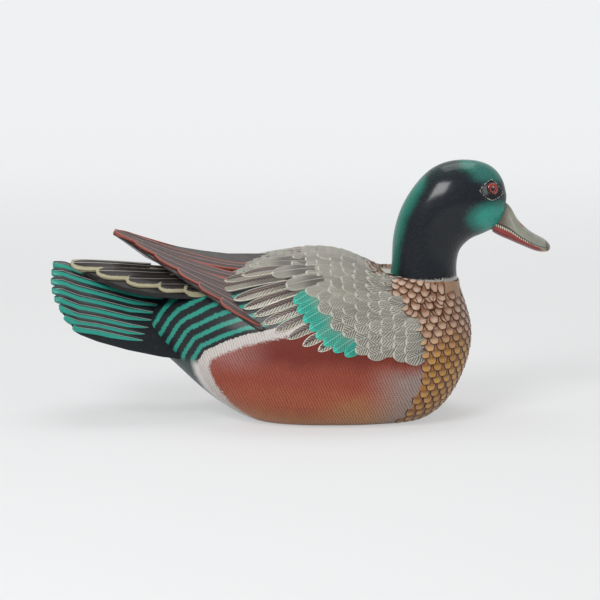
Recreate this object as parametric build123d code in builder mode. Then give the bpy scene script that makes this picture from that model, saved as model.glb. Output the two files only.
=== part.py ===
"""A hollow wooden floating duck decoy whose head turns on its neck stud.

Frame: millimetres, +X towards the bill, +Y to the duck's left, +Z up. The origin is in the
middle of the decoy's length and width, on the flat bottom that it stands on.
"""

import os
from collections import namedtuple
from math import cos, pi, radians, sin, sqrt

from build123d import *

# ---------------------------------------------------------------- driving sizes
# Body halves and the cavity between them.
SEAM_Z = 60.0              # glue seam between the two halves
FLOOR_WALL = 14.0          # wood under the lower cavity
CEILING_Z = 90.0           # flat ceiling of the upper cavity, where the neck nut bears
CAVITY_REAR_X = -38.0
CAVITY_REAR_HALF = 34.0
CAVITY_MIDDLE_X = 50.0
CAVITY_MIDDLE_HALF = 42.0
CAVITY_CORNER = 12.0
LOWER_CAVITY_FRONT_X = 84.0
LOWER_CAVITY_FRONT_HALF = 28.0
UPPER_CAVITY_FRONT_X = 115.0
UPPER_CAVITY_FRONT_HALF = 15.0
DOWEL_RADIUS = 4.0
DOWEL_LENGTH = 24.0
DOWEL_INSET = 16.0         # from the cavity's wall to a dowel's axis
DOWEL_XS = (-26.0, 66.0)

# Neck joint.
NECK_X = 99.0              # axis that the head turns about
NECK_SEAT_Z = 110.0        # flat seat of the head on the body
NECK_RADIUS = 27.2         # round foot of the neck
SEAT_CLEARANCE = 0.3       # the fibre washer keeps the head this far off the body
SEAT_STEP = 2.0            # rise of the back just behind the neck
BACK_SLOPE_TOP = (48.0, 126.4)      # x and z where the back starts to slope down to the neck
BACK_SLOPE_BEND = (60.0, 119.6)     # x and z where that slope steepens
STUD_RADIUS = 4.0
STUD_DEPTH = 48.0          # length in the head
STUD_BEYOND_NUT = 2.0
RUNNING_CLEARANCE = 0.05
BUSH_WALL = 3.0
BUSH_FLANGE_RADIUS = 11.0
BUSH_FLANGE_THICKNESS = 2.0
FIBRE_WASHER_RADIUS = 18.0
FIBRE_WASHER_THICKNESS = 1.5
CLAMP_WASHER_RADIUS = 12.0
CLAMP_WASHER_THICKNESS = 1.6
SPRING_WASHER_RADIUS = 7.5
SPRING_WASHER_THICKNESS = 2.0
SPRING_WASHER_SPLIT = 1.5
NUT_ACROSS_FLATS = 13.0
NUT_HEIGHT = 8.0

# Ballast let into the flat bottom.
BALLAST_X = 14.0
BALLAST_LENGTH = 76.0
BALLAST_WIDTH = 28.0
BALLAST_THICKNESS = 6.0
BALLAST_CORNER = 5.0
BALLAST_SCREW_SPACING = 52.0
BALLAST_SCREW_RADIUS = 1.6
BALLAST_SCREW_LENGTH = 11.0
POCKET_CLEARANCE = 0.3
BOTTOM_INSET = 0.5         # how far metal stays above the surface that the decoy stands on

# Folding bail for the anchor line, in a recess of the flat bottom.
ANCHOR_X = 76.0            # hinge of the bail
BAIL_WIRE_RADIUS = 1.5
BAIL_LENGTH = 17.0         # from the hinge to the middle of the wire at the far end
BAIL_HALF_WIDTH = 9.5      # to the middle of the wire
BAIL_HINGE_CORNER = 3.0
BAIL_BOW_CORNER = 9.0
EYE_CLEARANCE = 0.1        # bail wire in the clip's eye
CLIP_THICKNESS = 1.2
CLIP_WIDTH = 10.0
CLIP_REACH = 13.0          # from the hinge to the end of the flange
CLIP_SCREW_X = 8.5         # from the hinge to the screws
CLIP_SCREW_Y = 2.6
CLIP_SCREW_RADIUS = 0.9
CLIP_SCREW_LENGTH = 6.5
RECESS_MARGIN = 2.5
SCREW_HEAD_SHARE = 2.0     # countersunk head radius over shank radius
SLOT_SHARE = 0.4           # driver slot width and depth over shank radius

# Glass eyes.
EYE_X = 152.0
EYE_Z = 184.5
EYE_RADIUS = 5.0
EYE_DOME = 2.4
EYE_DEPTH = 6.0
EYE_TOE_IN = 22.0          # degrees that each eye looks forward of sideways
EYE_TILT = 6.0             # degrees that each eye looks up
EYE_ROOT_Y = 16.0          # the eye's line passes through EYE_X, EYE_Z this far from the middle
EYE_SET_IN = 0.8           # rim below the head's surface

# Carved panels on the body.
WING_RELIEF = 4.0          # how far the wing panels stand proud of the body
WING_INNER_Y = 22.0        # inner edge of each panel on the back
PRIMARY_GAP = 0.4          # from the middle plane to each wing's primaries
PRIMARY_EDGE = 3.0         # thickness along the lower edge of the primaries
PRIMARY_TAPER = 10.0       # half-width below which that thickness tapers to the tip
EDGE_UNDERCUT = 0.92       # how far out the underside reaches, as a share of the half-width
TAIL_THICKNESS = 7.0
COVERT_DEPTH = 16.0
RIDGE_ROUNDING = 5.0       # how round the tail's ridge is

WIDE = 120.0               # half-width of cutters, beyond any part of the duck
BEYOND_BREAST_X = 170.0    # front end of the seat's cutter, in front of the breast
ABOVE_BACK_Z = 175.0       # top of that cutter, above the back

# ---------------------------------------------------------------- outlines
Station = namedtuple("Station", "top bottom half_width widest")

TURN_X, TURN_Z = 62.0, 128.0      # the breast sections fan out about this line above the back
TURN_INNER = 9.0


def breast_station(angle, reach, half_width, widest):
    """A body section turned by angle degrees from upright about the turning line."""
    out_x, out_z = sin(radians(angle)), -cos(radians(angle))
    top = (TURN_X + TURN_INNER * out_x, TURN_Z + TURN_INNER * out_z)
    bottom = (TURN_X + reach * out_x, TURN_Z + reach * out_z)
    return Station(top, bottom, half_width, widest)


BODY_STATIONS = [
    Station((-124.0, 84.0), (-117.0, 58.0), 22.0, 0.50),
    Station((-105.0, 97.0), (-100.0, 44.0), 36.0, 0.50),
    Station((-80.0, 110.0), (-80.0, 26.0), 51.0, 0.48),
    Station((-50.0, 121.0), (-50.0, 5.5), 65.0, 0.45),
    Station((-20.0, 129.5), (-20.0, -4.0), 74.0, 0.42),
    Station((15.0, 133.5), (15.0, -6.0), 79.0, 0.40),
    Station((42.0, 128.5), (42.0, -6.0), 77.0, 0.40),
    breast_station(0.0, 133.0, 73.0, 0.40),
    breast_station(18.0, 131.0, 66.0, 0.42),
    breast_station(36.0, 114.0, 54.0, 0.45),
    breast_station(54.0, 91.0, 41.0, 0.50),
    breast_station(72.0, 68.0, 31.0, 0.50),
    breast_station(90.0, 64.0, 27.0, 0.50),
]
BODY_FULLNESS = (2.0, 2.5)        # above and below the widest line: 2 is an ellipse, more is squarer

HEAD_BASE_Z = NECK_SEAT_Z + SEAT_CLEARANCE
HEAD_STATIONS = [
    Station((NECK_X - NECK_RADIUS, HEAD_BASE_Z), (NECK_X + NECK_RADIUS, HEAD_BASE_Z), NECK_RADIUS, 0.50),
    Station((73.4, 121.0), (125.6, 119.0), 25.5, 0.50),
    Station((74.4, 141.0), (127.0, 130.5), 24.0, 0.50),
    Station((79.0, 162.0), (130.5, 137.0), 23.5, 0.50),
    Station((90.0, 183.0), (137.5, 143.0), 24.0, 0.50),
    Station((107.0, 200.0), (144.5, 146.0), 24.5, 0.48),
    Station((129.0, 206.0), (150.0, 148.5), 23.5, 0.45),
    Station((147.0, 203.5), (154.0, 150.0), 20.0, 0.45),
    Station((157.0, 197.0), (157.5, 151.5), 15.0, 0.45),
    Station((162.5, 188.0), (160.0, 154.5), 10.5, 0.45),
    Station((165.0, 178.0), (162.0, 158.0), 7.0, 0.50),
]
HEAD_FULLNESS = (2.0, 2.0)

# Bill sections: x, top, split between the mandibles, bottom, half-width.
BillStation = namedtuple("BillStation", "x top split bottom half_width")
BILL_STATIONS = [
    BillStation(154.0, 175.0, 151.5, 148.5, 10.0),
    BillStation(160.0, 173.5, 149.0, 145.3, 11.5),
    BillStation(166.5, 170.0, 146.2, 142.5, 12.0),
    BillStation(173.0, 160.0, 143.2, 139.6, 12.5),
    BillStation(181.0, 151.2, 139.5, 136.3, 13.2),
    BillStation(189.0, 145.7, 136.2, 133.3, 13.8),
    BillStation(195.5, 142.2, 134.8, 132.4, 12.2),
    BillStation(199.2, 138.8, 134.6, 133.2, 7.5),
    BillStation(200.5, 137.0, 135.2, 134.4, 3.0),
]
JAW_INSET = 0.9                   # the lower mandible is narrower than the upper

# Roof-shaped sections of the tail and of the coverts on its ridge.
RoofStation = namedtuple("RoofStation", "x ridge half_width eave depth")
TAIL_STATIONS = [
    RoofStation(-84.0, 98.0, 37.0, 53.0, TAIL_THICKNESS),
    RoofStation(-110.0, 101.0, 41.0, 57.0, TAIL_THICKNESS),
    RoofStation(-136.0, 106.0, 45.0, 63.0, TAIL_THICKNESS),
    RoofStation(-160.0, 113.0, 47.0, 69.0, TAIL_THICKNESS),
    RoofStation(-185.0, 121.0, 47.0, 79.0, TAIL_THICKNESS),
    RoofStation(-204.0, 127.0, 47.0, 87.0, TAIL_THICKNESS),
]
TAIL_TIPS = [(-194.0, 0.0), (-200.2, 9.0), (-200.5, 19.0), (-195.0, 30.0), (-182.5, 40.5)]
TIP_RADIUS = 6.2                  # round end of each tail feather
COVERT_STATIONS = [
    RoofStation(-74.0, 119.0, 38.0, 104.0, COVERT_DEPTH),
    RoofStation(-96.0, 120.5, 36.0, 103.5, COVERT_DEPTH),
    RoofStation(-116.0, 121.5, 32.0, 104.0, COVERT_DEPTH),
    RoofStation(-140.0, 123.0, 26.0, 107.5, COVERT_DEPTH),
    RoofStation(-163.0, 124.0, 16.0, 114.5, 0.75 * COVERT_DEPTH),
    RoofStation(-180.0, 124.5, 6.0, 121.0, 0.5 * COVERT_DEPTH),
    RoofStation(-185.5, 124.5, 1.5, 123.6, 0.35 * COVERT_DEPTH),
]

# Sections of one wing's primaries: x, ridge, half-width and height of the lower edge, underside.
PrimaryStation = namedtuple("PrimaryStation", "x ridge edge_y edge_z under")
PRIMARY_STATIONS = [
    PrimaryStation(-31.0, 131.0, 70.0, 82.0, 75.0),
    PrimaryStation(-58.0, 131.0, 54.7, 97.3, 92.0),
    PrimaryStation(-79.0, 133.5, 42.7, 109.3, 104.0),
    PrimaryStation(-103.0, 137.5, 29.1, 122.9, 117.0),
    PrimaryStation(-124.0, 142.5, 17.2, 134.8, 127.0),
    PrimaryStation(-141.0, 147.0, 7.5, 144.5, 139.5),
    PrimaryStation(-150.0, 149.0, 2.5, 148.5, 146.0),
]

# Side view of a wing panel, as (x, z).
WING_OUTLINE = [
    (-68.0, 108.0), (-50.0, 98.0), (-31.0, 87.0), (-1.0, 74.0), (24.0, 65.0), (36.0, 60.5),
    (58.0, 57.5), (80.0, 58.0), (101.0, 65.0), (104.0, 77.0), (98.0, 95.0), (86.0, 106.0),
    (72.0, 114.0), (64.0, 122.0), (56.0, 145.0), (-24.0, 145.0), (-32.0, 133.0), (-46.0, 126.0),
    (-60.0, 118.0),
]
HALF_SECTION_POINTS = 8


# ---------------------------------------------------------------- helpers
def half_section(station, fullness, grow=0.0):
    """The left half of one station's section, in the plane of its top, bottom and the Y axis."""
    (top_x, top_z), (bottom_x, bottom_z) = station.top, station.bottom
    up = Vector(top_x - bottom_x, 0, top_z - bottom_z)
    height = up.length
    up = up.normalized()
    points = []
    for step in range(HALF_SECTION_POINTS + 1):
        angle = pi * step / HALF_SECTION_POINTS - pi / 2
        above = angle >= 0
        power = 2 / fullness[0 if above else 1]
        rise = (1 - station.widest) * height + grow if above else -station.widest * height - grow
        across = (station.half_width + grow) * abs(cos(angle)) ** power
        points.append((across, station.widest * height + rise * abs(sin(angle)) ** power))
    points[0] = (0, points[0][1])
    points[-1] = (0, points[-1][1])
    plane = Plane((bottom_x, 0, bottom_z), x_dir=(0, 1, 0), z_dir=(up.Z, 0, -up.X))
    with BuildSketch(plane) as closed:
        with BuildLine():
            Spline(*points, tangents=[(1, 0), (-1, 0)], tangent_scalars=(1, 1))
            Line(points[-1], points[0])
        make_face()
    return closed.sketch


def upright(x):
    """The YZ plane at x, with its own x along +Y and its own y along +Z."""
    return Plane((x, 0, 0), x_dir=(0, 1, 0), z_dir=(1, 0, 0))


def half_bill_section(station, upper):
    """The left half of the upper mandible above the split, or of the lower one below it."""
    half = station.half_width if upper else station.half_width - JAW_INSET
    crown = station.top if upper else station.bottom
    rise = crown - station.split
    with BuildSketch(upright(station.x)) as closed:
        with BuildLine():
            Spline(
                (0, crown), (0.4 * half, station.split + 0.86 * rise),
                (0.8 * half, station.split + 0.45 * rise), (half, station.split),
            )
            Polyline((half, station.split), (0, station.split), (0, crown))
        make_face()
    return closed.sketch


def half_roof_section(station):
    """The left half of a roof-shaped slab: a rounded ridge, a straight slope, and its depth below."""
    slope = (station.ridge - station.eave) / (
        sqrt(station.half_width**2 + RIDGE_ROUNDING**2) - RIDGE_ROUNDING
    )
    ys = [station.half_width * share for share in (0, 0.1, 0.25, 0.5, 1)]
    upper = [(y, station.ridge - slope * (sqrt(y**2 + RIDGE_ROUNDING**2) - RIDGE_ROUNDING)) for y in ys]
    lower = [(y, z - station.depth) for y, z in upper]
    with BuildSketch(upright(station.x)) as closed:
        with BuildLine():
            Spline(*upper)
            Line(upper[-1], lower[-1])
            Spline(*lower)
            Line(lower[0], upper[0])
        make_face()
    return closed.sketch


def edge_depth(station):
    """Thickness of the primaries' lower edge at a section, less where they narrow to the tip."""
    return PRIMARY_EDGE * min(1, station.edge_y / PRIMARY_TAPER)


def primary_section(station):
    """One wing's primaries at one station, on the duck's left."""
    with BuildSketch(upright(station.x)) as closed:
        with BuildLine():
            Polyline(
                (PRIMARY_GAP, station.ridge),
                (PRIMARY_GAP + station.edge_y, station.edge_z),
                (PRIMARY_GAP + EDGE_UNDERCUT * station.edge_y, station.edge_z - edge_depth(station)),
                (PRIMARY_GAP, station.under),
                close=True,
            )
        make_face()
    return closed.sketch


def side_prism(points, near, far):
    """A solid with this side-view outline, as (x, z) points, from y = near to y = far."""
    with BuildPart() as prism:
        with BuildSketch(Plane.XZ.offset(-near)):
            with BuildLine():
                Polyline(*points, close=True)
            make_face()
        extrude(amount=near - far)
    return prism.part


def cavity(front_x, front_half, low, high):
    """The routed hollow of one body half: a tapered slot with round corners and flat ends."""
    with BuildPart() as hollow:
        with BuildSketch(Plane.XY.offset(low)) as plan:
            with BuildLine():
                Polyline(
                    (CAVITY_REAR_X, -CAVITY_REAR_HALF), (CAVITY_MIDDLE_X, -CAVITY_MIDDLE_HALF),
                    (front_x, -front_half), (front_x, front_half),
                    (CAVITY_MIDDLE_X, CAVITY_MIDDLE_HALF), (CAVITY_REAR_X, CAVITY_REAR_HALF),
                    close=True,
                )
            make_face()
            fillet(plan.vertices(), CAVITY_CORNER)
        extrude(amount=high - low)
    return hollow.part


def screw_blank(radius, length, x, y, z):
    """A countersunk screw driven upwards, its head face at z: also the hole that it fills."""
    head = radius * SCREW_HEAD_SHARE
    with BuildPart() as blank:
        with BuildSketch(Plane(origin=(x, y, z), x_dir=(1, 0, 0), z_dir=(0, -1, 0))):
            with BuildLine():
                Polyline(
                    (0, 0), (head, 0), (radius, head - radius), (radius, length - radius),
                    (0, length), close=True,
                )
            make_face()
        revolve(axis=Axis((x, y, z), (0, 0, 1)))
    return blank.part


def slotted(blank, radius, x, y, z):
    """The screw with a driver slot across its head."""
    with BuildPart() as screw:
        add(blank)
        with BuildSketch(Plane((x, y, z))):
            Rectangle(2 * radius * SCREW_HEAD_SHARE, SLOT_SHARE * radius)
        extrude(amount=SLOT_SHARE * radius, mode=Mode.SUBTRACT)
    return screw.part


def disc(radius, hole, low, high):
    """A round washer, flange or bore on the neck axis, from z = low to z = high."""
    with BuildPart() as ring:
        with BuildSketch(Plane((NECK_X, 0, low))):
            Circle(radius)
            if hole:
                Circle(hole, mode=Mode.SUBTRACT)
        extrude(amount=high - low)
    return ring.part


def upright_slab(x_low, x_high, half_width, low, high):
    """A rectangular block across the middle plane, for pockets."""
    with BuildPart() as slab:
        with BuildSketch(Plane(((x_low + x_high) / 2, 0, low))):
            Rectangle(x_high - x_low, 2 * half_width)
        extrude(amount=high - low)
    return slab.part


def mirrored(solid):
    """The same piece on the duck's other side."""
    with BuildPart() as other:
        add(mirror(solid, about=Plane.XZ, mode=Mode.PRIVATE))
    return other.part


def both_sides(half):
    """A symmetrical solid from its left half."""
    with BuildPart() as whole:
        add(half)
        add(mirror(half, about=Plane.XZ, mode=Mode.PRIVATE))
    return whole.part


# ---------------------------------------------------------------- carved block
seat_rear_x = NECK_X - NECK_RADIUS - SEAT_CLEARANCE
seat_cut = side_prism(
    [
        BACK_SLOPE_TOP, BACK_SLOPE_BEND, (seat_rear_x, NECK_SEAT_Z + SEAT_STEP),
        (seat_rear_x, NECK_SEAT_Z), (BEYOND_BREAST_X, NECK_SEAT_Z),
        (BEYOND_BREAST_X, ABOVE_BACK_Z), (BACK_SLOPE_TOP[0], ABOVE_BACK_Z),
    ],
    -WIDE, WIDE,
)
body_sections = [half_section(station, BODY_FULLNESS) for station in BODY_STATIONS]
with BuildPart() as half_block:
    loft(body_sections)
with BuildPart() as block:
    add(both_sides(half_block.part))
    split(bisect_by=Plane.XY, keep=Keep.TOP)
    add(seat_cut, mode=Mode.SUBTRACT)

grown_sections = [half_section(station, BODY_FULLNESS, WING_RELIEF) for station in BODY_STATIONS]
with BuildPart() as grown_block:
    loft(grown_sections)
    add(seat_cut, mode=Mode.SUBTRACT)

# ---------------------------------------------------------------- tail and its coverts
tail_sections = [half_roof_section(station) for station in TAIL_STATIONS]
with BuildPart() as half_tail:
    loft(tail_sections)
tip_centres = [(x + TIP_RADIUS, y) for x, y in TAIL_TIPS]
tip_centres += [(x, -y) for x, y in tip_centres[1:]]
left_tips = sorted(tip_centres, key=lambda point: point[1])
tail_side = max(y for x, y in tip_centres) + TIP_RADIUS
with BuildPart() as tail_plan:
    with BuildSketch():
        with BuildLine():
            Polyline(
                *left_tips, (left_tips[-1][0], tail_side), (TAIL_STATIONS[0].x, tail_side),
                (TAIL_STATIONS[0].x, -tail_side), (left_tips[0][0], -tail_side), close=True,
            )
        make_face()
        with Locations(*tip_centres):
            Circle(TIP_RADIUS)
    extrude(amount=2 * WIDE)

with BuildPart() as tail_fan:
    add(both_sides(half_tail.part))
    add(tail_plan.part, mode=Mode.INTERSECT)
    add(block.part, mode=Mode.SUBTRACT)
tail_fan.part.label = "tail_fan"

covert_sections = [half_roof_section(station) for station in COVERT_STATIONS]
with BuildPart() as half_coverts:
    loft(covert_sections)
with BuildPart() as rump_coverts:
    add(both_sides(half_coverts.part))
    add(block.part, mode=Mode.SUBTRACT)
    add(tail_fan.part, mode=Mode.SUBTRACT)
rump_coverts.part.label = "rump_coverts"

# ---------------------------------------------------------------- wings
primary_sections = [primary_section(station) for station in PRIMARY_STATIONS]
with BuildPart() as primaries_left:
    loft(primary_sections, ruled=True)
    add(block.part, mode=Mode.SUBTRACT)
    add(tail_fan.part, mode=Mode.SUBTRACT)
    add(rump_coverts.part, mode=Mode.SUBTRACT)
primaries_left.part.label = "primaries_left"

wing_outline = side_prism(WING_OUTLINE, WING_INNER_Y, WIDE)
with BuildPart() as wing_left:
    add(grown_block.part)
    add(wing_outline, mode=Mode.INTERSECT)
    add(block.part, mode=Mode.SUBTRACT)
    add(primaries_left.part, mode=Mode.SUBTRACT)
    add(rump_coverts.part, mode=Mode.SUBTRACT)
wing_left.part.label = "wing_left"

wing_right = mirrored(wing_left.part)
wing_right.label = "wing_right"
primaries_right = mirrored(primaries_left.part)
primaries_right.label = "primaries_right"

# ---------------------------------------------------------------- bill, eyes and head
upper_bill_sections = [half_bill_section(station, True) for station in BILL_STATIONS]
lower_bill_sections = [half_bill_section(station, False) for station in BILL_STATIONS]
with BuildPart() as half_bill_upper:
    loft(upper_bill_sections)
with BuildPart() as half_bill_lower:
    loft(lower_bill_sections)
bill_upper = both_sides(half_bill_upper.part)
bill_upper.label = "bill_upper"
with BuildPart() as bill_lower:
    add(both_sides(half_bill_lower.part))
    add(bill_upper, mode=Mode.SUBTRACT)
bill_lower.part.label = "bill_lower"

head_sections = [half_section(station, HEAD_FULLNESS) for station in HEAD_STATIONS]
with BuildPart() as half_head:
    loft(head_sections)
head_block = both_sides(half_head.part)

eye_direction = Vector(
    sin(radians(EYE_TOE_IN)) * cos(radians(EYE_TILT)),
    cos(radians(EYE_TOE_IN)) * cos(radians(EYE_TILT)),
    sin(radians(EYE_TILT)),
)


def eye_seat():
    """The middle of the left eye's rim: where the eye's line leaves the head, less the sag."""
    root = Vector(EYE_X, EYE_ROOT_Y, EYE_Z)
    start = root - eye_direction * (EYE_ROOT_Y / eye_direction.Y)
    line = Axis(start, eye_direction)
    crossings = [point for point, normal in head_block.find_intersection_points(line)]
    return max(crossings, key=lambda point: point.Y) - eye_direction * EYE_SET_IN


seat = eye_seat()
eye_plane = Plane(origin=seat, x_dir=Vector(0, 0, 1), z_dir=eye_direction)
with BuildPart() as eye_left:
    with BuildSketch(Plane(origin=seat, x_dir=eye_plane.x_dir, z_dir=-eye_plane.y_dir)):
        with BuildLine():
            Polyline((0, EYE_DOME), (0, -EYE_DEPTH), (EYE_RADIUS, -EYE_DEPTH), (EYE_RADIUS, 0))
            RadiusArc((EYE_RADIUS, 0), (0, EYE_DOME), -(EYE_RADIUS**2 + EYE_DOME**2) / (2 * EYE_DOME))
        make_face()
    revolve(axis=Axis(seat, eye_direction))
eye_left.part.label = "eye_left"
eye_right = mirrored(eye_left.part)
eye_right.label = "eye_right"

with BuildPart() as socket_left:
    with BuildSketch(eye_plane.offset(-EYE_DEPTH)):
        Circle(EYE_RADIUS)
    extrude(amount=EYE_DEPTH + 2 * EYE_RADIUS)
socket_right = mirrored(socket_left.part)

# ---------------------------------------------------------------- neck hardware
washer_top = HEAD_BASE_Z
washer_bottom = washer_top - FIBRE_WASHER_THICKNESS
flange_bottom = washer_bottom - BUSH_FLANGE_THICKNESS
bush_radius = STUD_RADIUS + RUNNING_CLEARANCE + BUSH_WALL
clamp_bottom = CEILING_Z - CLAMP_WASHER_THICKNESS
spring_bottom = clamp_bottom - SPRING_WASHER_THICKNESS
nut_bottom = spring_bottom - NUT_HEIGHT
stud_bottom = nut_bottom - STUD_BEYOND_NUT
stud_top = HEAD_BASE_Z + STUD_DEPTH

with BuildPart() as neck_stud:
    with BuildSketch(Plane((NECK_X, 0, stud_bottom))):
        Circle(STUD_RADIUS)
    extrude(amount=stud_top - stud_bottom)
    chamfer(neck_stud.edges().filter_by(GeomType.CIRCLE), STUD_RADIUS / 5)
neck_stud.part.label = "neck_stud"

with BuildPart() as neck_bush:
    add(disc(bush_radius, 0, CEILING_Z, washer_bottom))
    add(disc(BUSH_FLANGE_RADIUS, 0, flange_bottom, washer_bottom))
    add(disc(STUD_RADIUS + RUNNING_CLEARANCE, 0, CEILING_Z, washer_bottom), mode=Mode.SUBTRACT)
neck_bush.part.label = "neck_bush"

with BuildPart() as fibre_washer:
    add(disc(FIBRE_WASHER_RADIUS, STUD_RADIUS + SEAT_CLEARANCE, washer_bottom, washer_top))
fibre_washer.part.label = "fibre_washer"

with BuildPart() as clamp_washer:
    add(disc(CLAMP_WASHER_RADIUS, STUD_RADIUS, clamp_bottom, CEILING_Z))
clamp_washer.part.label = "clamp_washer"

with BuildPart() as spring_washer:
    add(disc(SPRING_WASHER_RADIUS, STUD_RADIUS, spring_bottom, clamp_bottom))
    with BuildSketch(Plane((NECK_X, (STUD_RADIUS + SPRING_WASHER_RADIUS) / 2, spring_bottom))):
        Rectangle(SPRING_WASHER_SPLIT, SPRING_WASHER_RADIUS)
    extrude(amount=SPRING_WASHER_THICKNESS, mode=Mode.SUBTRACT)
spring_washer.part.label = "spring_washer"

with BuildPart() as lock_nut:
    with BuildSketch(Plane((NECK_X, 0, nut_bottom))):
        RegularPolygon(NUT_ACROSS_FLATS / 2, 6, major_radius=False)
        Circle(STUD_RADIUS, mode=Mode.SUBTRACT)
    extrude(amount=NUT_HEIGHT)
lock_nut.part.label = "lock_nut"

with BuildPart() as cut_head:
    add(head_block)
    add(bill_upper, mode=Mode.SUBTRACT)
    add(bill_lower.part, mode=Mode.SUBTRACT)
    add(socket_left.part, mode=Mode.SUBTRACT)
    add(socket_right, mode=Mode.SUBTRACT)
    add(disc(STUD_RADIUS, 0, HEAD_BASE_Z - 1, stud_top), mode=Mode.SUBTRACT)
with BuildPart() as head:
    add(cut_head.solids().sort_by(SortBy.VOLUME)[-1])    # without slivers between the mandibles
head.part.label = "head"

# ---------------------------------------------------------------- ballast
ballast_top = BOTTOM_INSET + BALLAST_THICKNESS
ballast_screw_places = [
    (BALLAST_X - BALLAST_SCREW_SPACING / 2, 0, BOTTOM_INSET),
    (BALLAST_X + BALLAST_SCREW_SPACING / 2, 0, BOTTOM_INSET),
]
ballast_holes = [
    screw_blank(BALLAST_SCREW_RADIUS, BALLAST_SCREW_LENGTH, *place) for place in ballast_screw_places
]
with BuildPart() as ballast_screws:
    for blank, place in zip(ballast_holes, ballast_screw_places):
        add(slotted(blank, BALLAST_SCREW_RADIUS, *place))
ballast_screws.part.label = "ballast_screws"
with BuildPart() as ballast_weight:
    with BuildSketch(Plane((BALLAST_X, 0, BOTTOM_INSET))):
        RectangleRounded(BALLAST_LENGTH, BALLAST_WIDTH, BALLAST_CORNER)
    extrude(amount=BALLAST_THICKNESS)
    for hole in ballast_holes:
        add(hole, mode=Mode.SUBTRACT)
ballast_weight.part.label = "ballast_weight"

with BuildPart() as ballast_pocket:
    with BuildSketch(Plane((BALLAST_X, 0, -1))):
        RectangleRounded(
            BALLAST_LENGTH + 2 * POCKET_CLEARANCE, BALLAST_WIDTH + 2 * POCKET_CLEARANCE,
            BALLAST_CORNER + POCKET_CLEARANCE,
        )
    extrude(amount=1 + ballast_top)

# ---------------------------------------------------------------- anchor bail and its clip
hinge_z = BOTTOM_INSET + CLIP_THICKNESS + EYE_CLEARANCE + BAIL_WIRE_RADIUS
clip_eye_radius = BAIL_WIRE_RADIUS + EYE_CLEARANCE
recess_top = hinge_z + clip_eye_radius + CLIP_THICKNESS
flange_face_z = recess_top - CLIP_THICKNESS

with BuildPart() as anchor_bail:
    with BuildLine(Plane.XY.offset(hinge_z)) as bail_path:
        FilletPolyline(
            (ANCHOR_X, BAIL_HALF_WIDTH), (ANCHOR_X - BAIL_LENGTH, BAIL_HALF_WIDTH),
            (ANCHOR_X - BAIL_LENGTH, -BAIL_HALF_WIDTH), (ANCHOR_X, -BAIL_HALF_WIDTH), close=True,
            radius=[BAIL_HINGE_CORNER, BAIL_BOW_CORNER, BAIL_BOW_CORNER, BAIL_HINGE_CORNER],
        )
    bail_wire = bail_path.wire()
    with BuildSketch(Plane(origin=bail_wire @ 0, z_dir=bail_wire % 0)):
        Circle(BAIL_WIRE_RADIUS)
    sweep(path=bail_wire)
anchor_bail.part.label = "anchor_bail"

clip_screw_places = [
    (ANCHOR_X + CLIP_SCREW_X, side * CLIP_SCREW_Y, flange_face_z) for side in (-1, 1)
]
clip_holes = [screw_blank(CLIP_SCREW_RADIUS, CLIP_SCREW_LENGTH, *place) for place in clip_screw_places]
with BuildPart() as clip_screws:
    for blank, place in zip(clip_holes, clip_screw_places):
        add(slotted(blank, CLIP_SCREW_RADIUS, *place))
clip_screws.part.label = "clip_screws"

with BuildPart() as anchor_clip:
    with BuildSketch(Plane.XZ.offset(-CLIP_WIDTH / 2)):
        with Locations((ANCHOR_X, hinge_z)):
            Circle(clip_eye_radius + CLIP_THICKNESS)
        with Locations((ANCHOR_X + CLIP_REACH / 2, recess_top - CLIP_THICKNESS / 2)):
            Rectangle(CLIP_REACH, CLIP_THICKNESS)
        with Locations((ANCHOR_X, hinge_z)):
            Circle(clip_eye_radius, mode=Mode.SUBTRACT)
    extrude(amount=CLIP_WIDTH)
    for hole in clip_holes:
        add(hole, mode=Mode.SUBTRACT)
anchor_clip.part.label = "anchor_clip"

recess = upright_slab(
    ANCHOR_X - BAIL_LENGTH - BAIL_WIRE_RADIUS - RECESS_MARGIN, ANCHOR_X + CLIP_REACH + RECESS_MARGIN / 2,
    BAIL_HALF_WIDTH + BAIL_WIRE_RADIUS + RECESS_MARGIN, -1, recess_top,
)

# ---------------------------------------------------------------- body halves
lower_cavity = cavity(LOWER_CAVITY_FRONT_X, LOWER_CAVITY_FRONT_HALF, FLOOR_WALL, SEAM_Z)
upper_cavity = cavity(UPPER_CAVITY_FRONT_X, UPPER_CAVITY_FRONT_HALF, SEAM_Z, CEILING_Z)


def cavity_half(x):
    """Half-width of the cavity at x, between its rear end and where it is widest."""
    share = (x - CAVITY_REAR_X) / (CAVITY_MIDDLE_X - CAVITY_REAR_X)
    return CAVITY_REAR_HALF + share * (CAVITY_MIDDLE_HALF - CAVITY_REAR_HALF)


dowel_places = [(x, side * (cavity_half(x) + DOWEL_INSET)) for x in DOWEL_XS for side in (-1, 1)]
with BuildPart() as seam_dowels:
    with BuildSketch(Plane.XY.offset(SEAM_Z - DOWEL_LENGTH / 2)):
        with Locations(*dowel_places):
            Circle(DOWEL_RADIUS)
    extrude(amount=DOWEL_LENGTH)
seam_dowels.part.label = "seam_dowels"

with BuildPart() as body_lower:
    add(block.part)
    split(bisect_by=Plane.XY.offset(SEAM_Z), keep=Keep.BOTTOM)
    lower_cutters = [lower_cavity, seam_dowels.part, ballast_pocket.part, recess]
    for cutter in lower_cutters + ballast_holes + clip_holes:
        add(cutter, mode=Mode.SUBTRACT)
body_lower.part.label = "body_lower"

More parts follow.
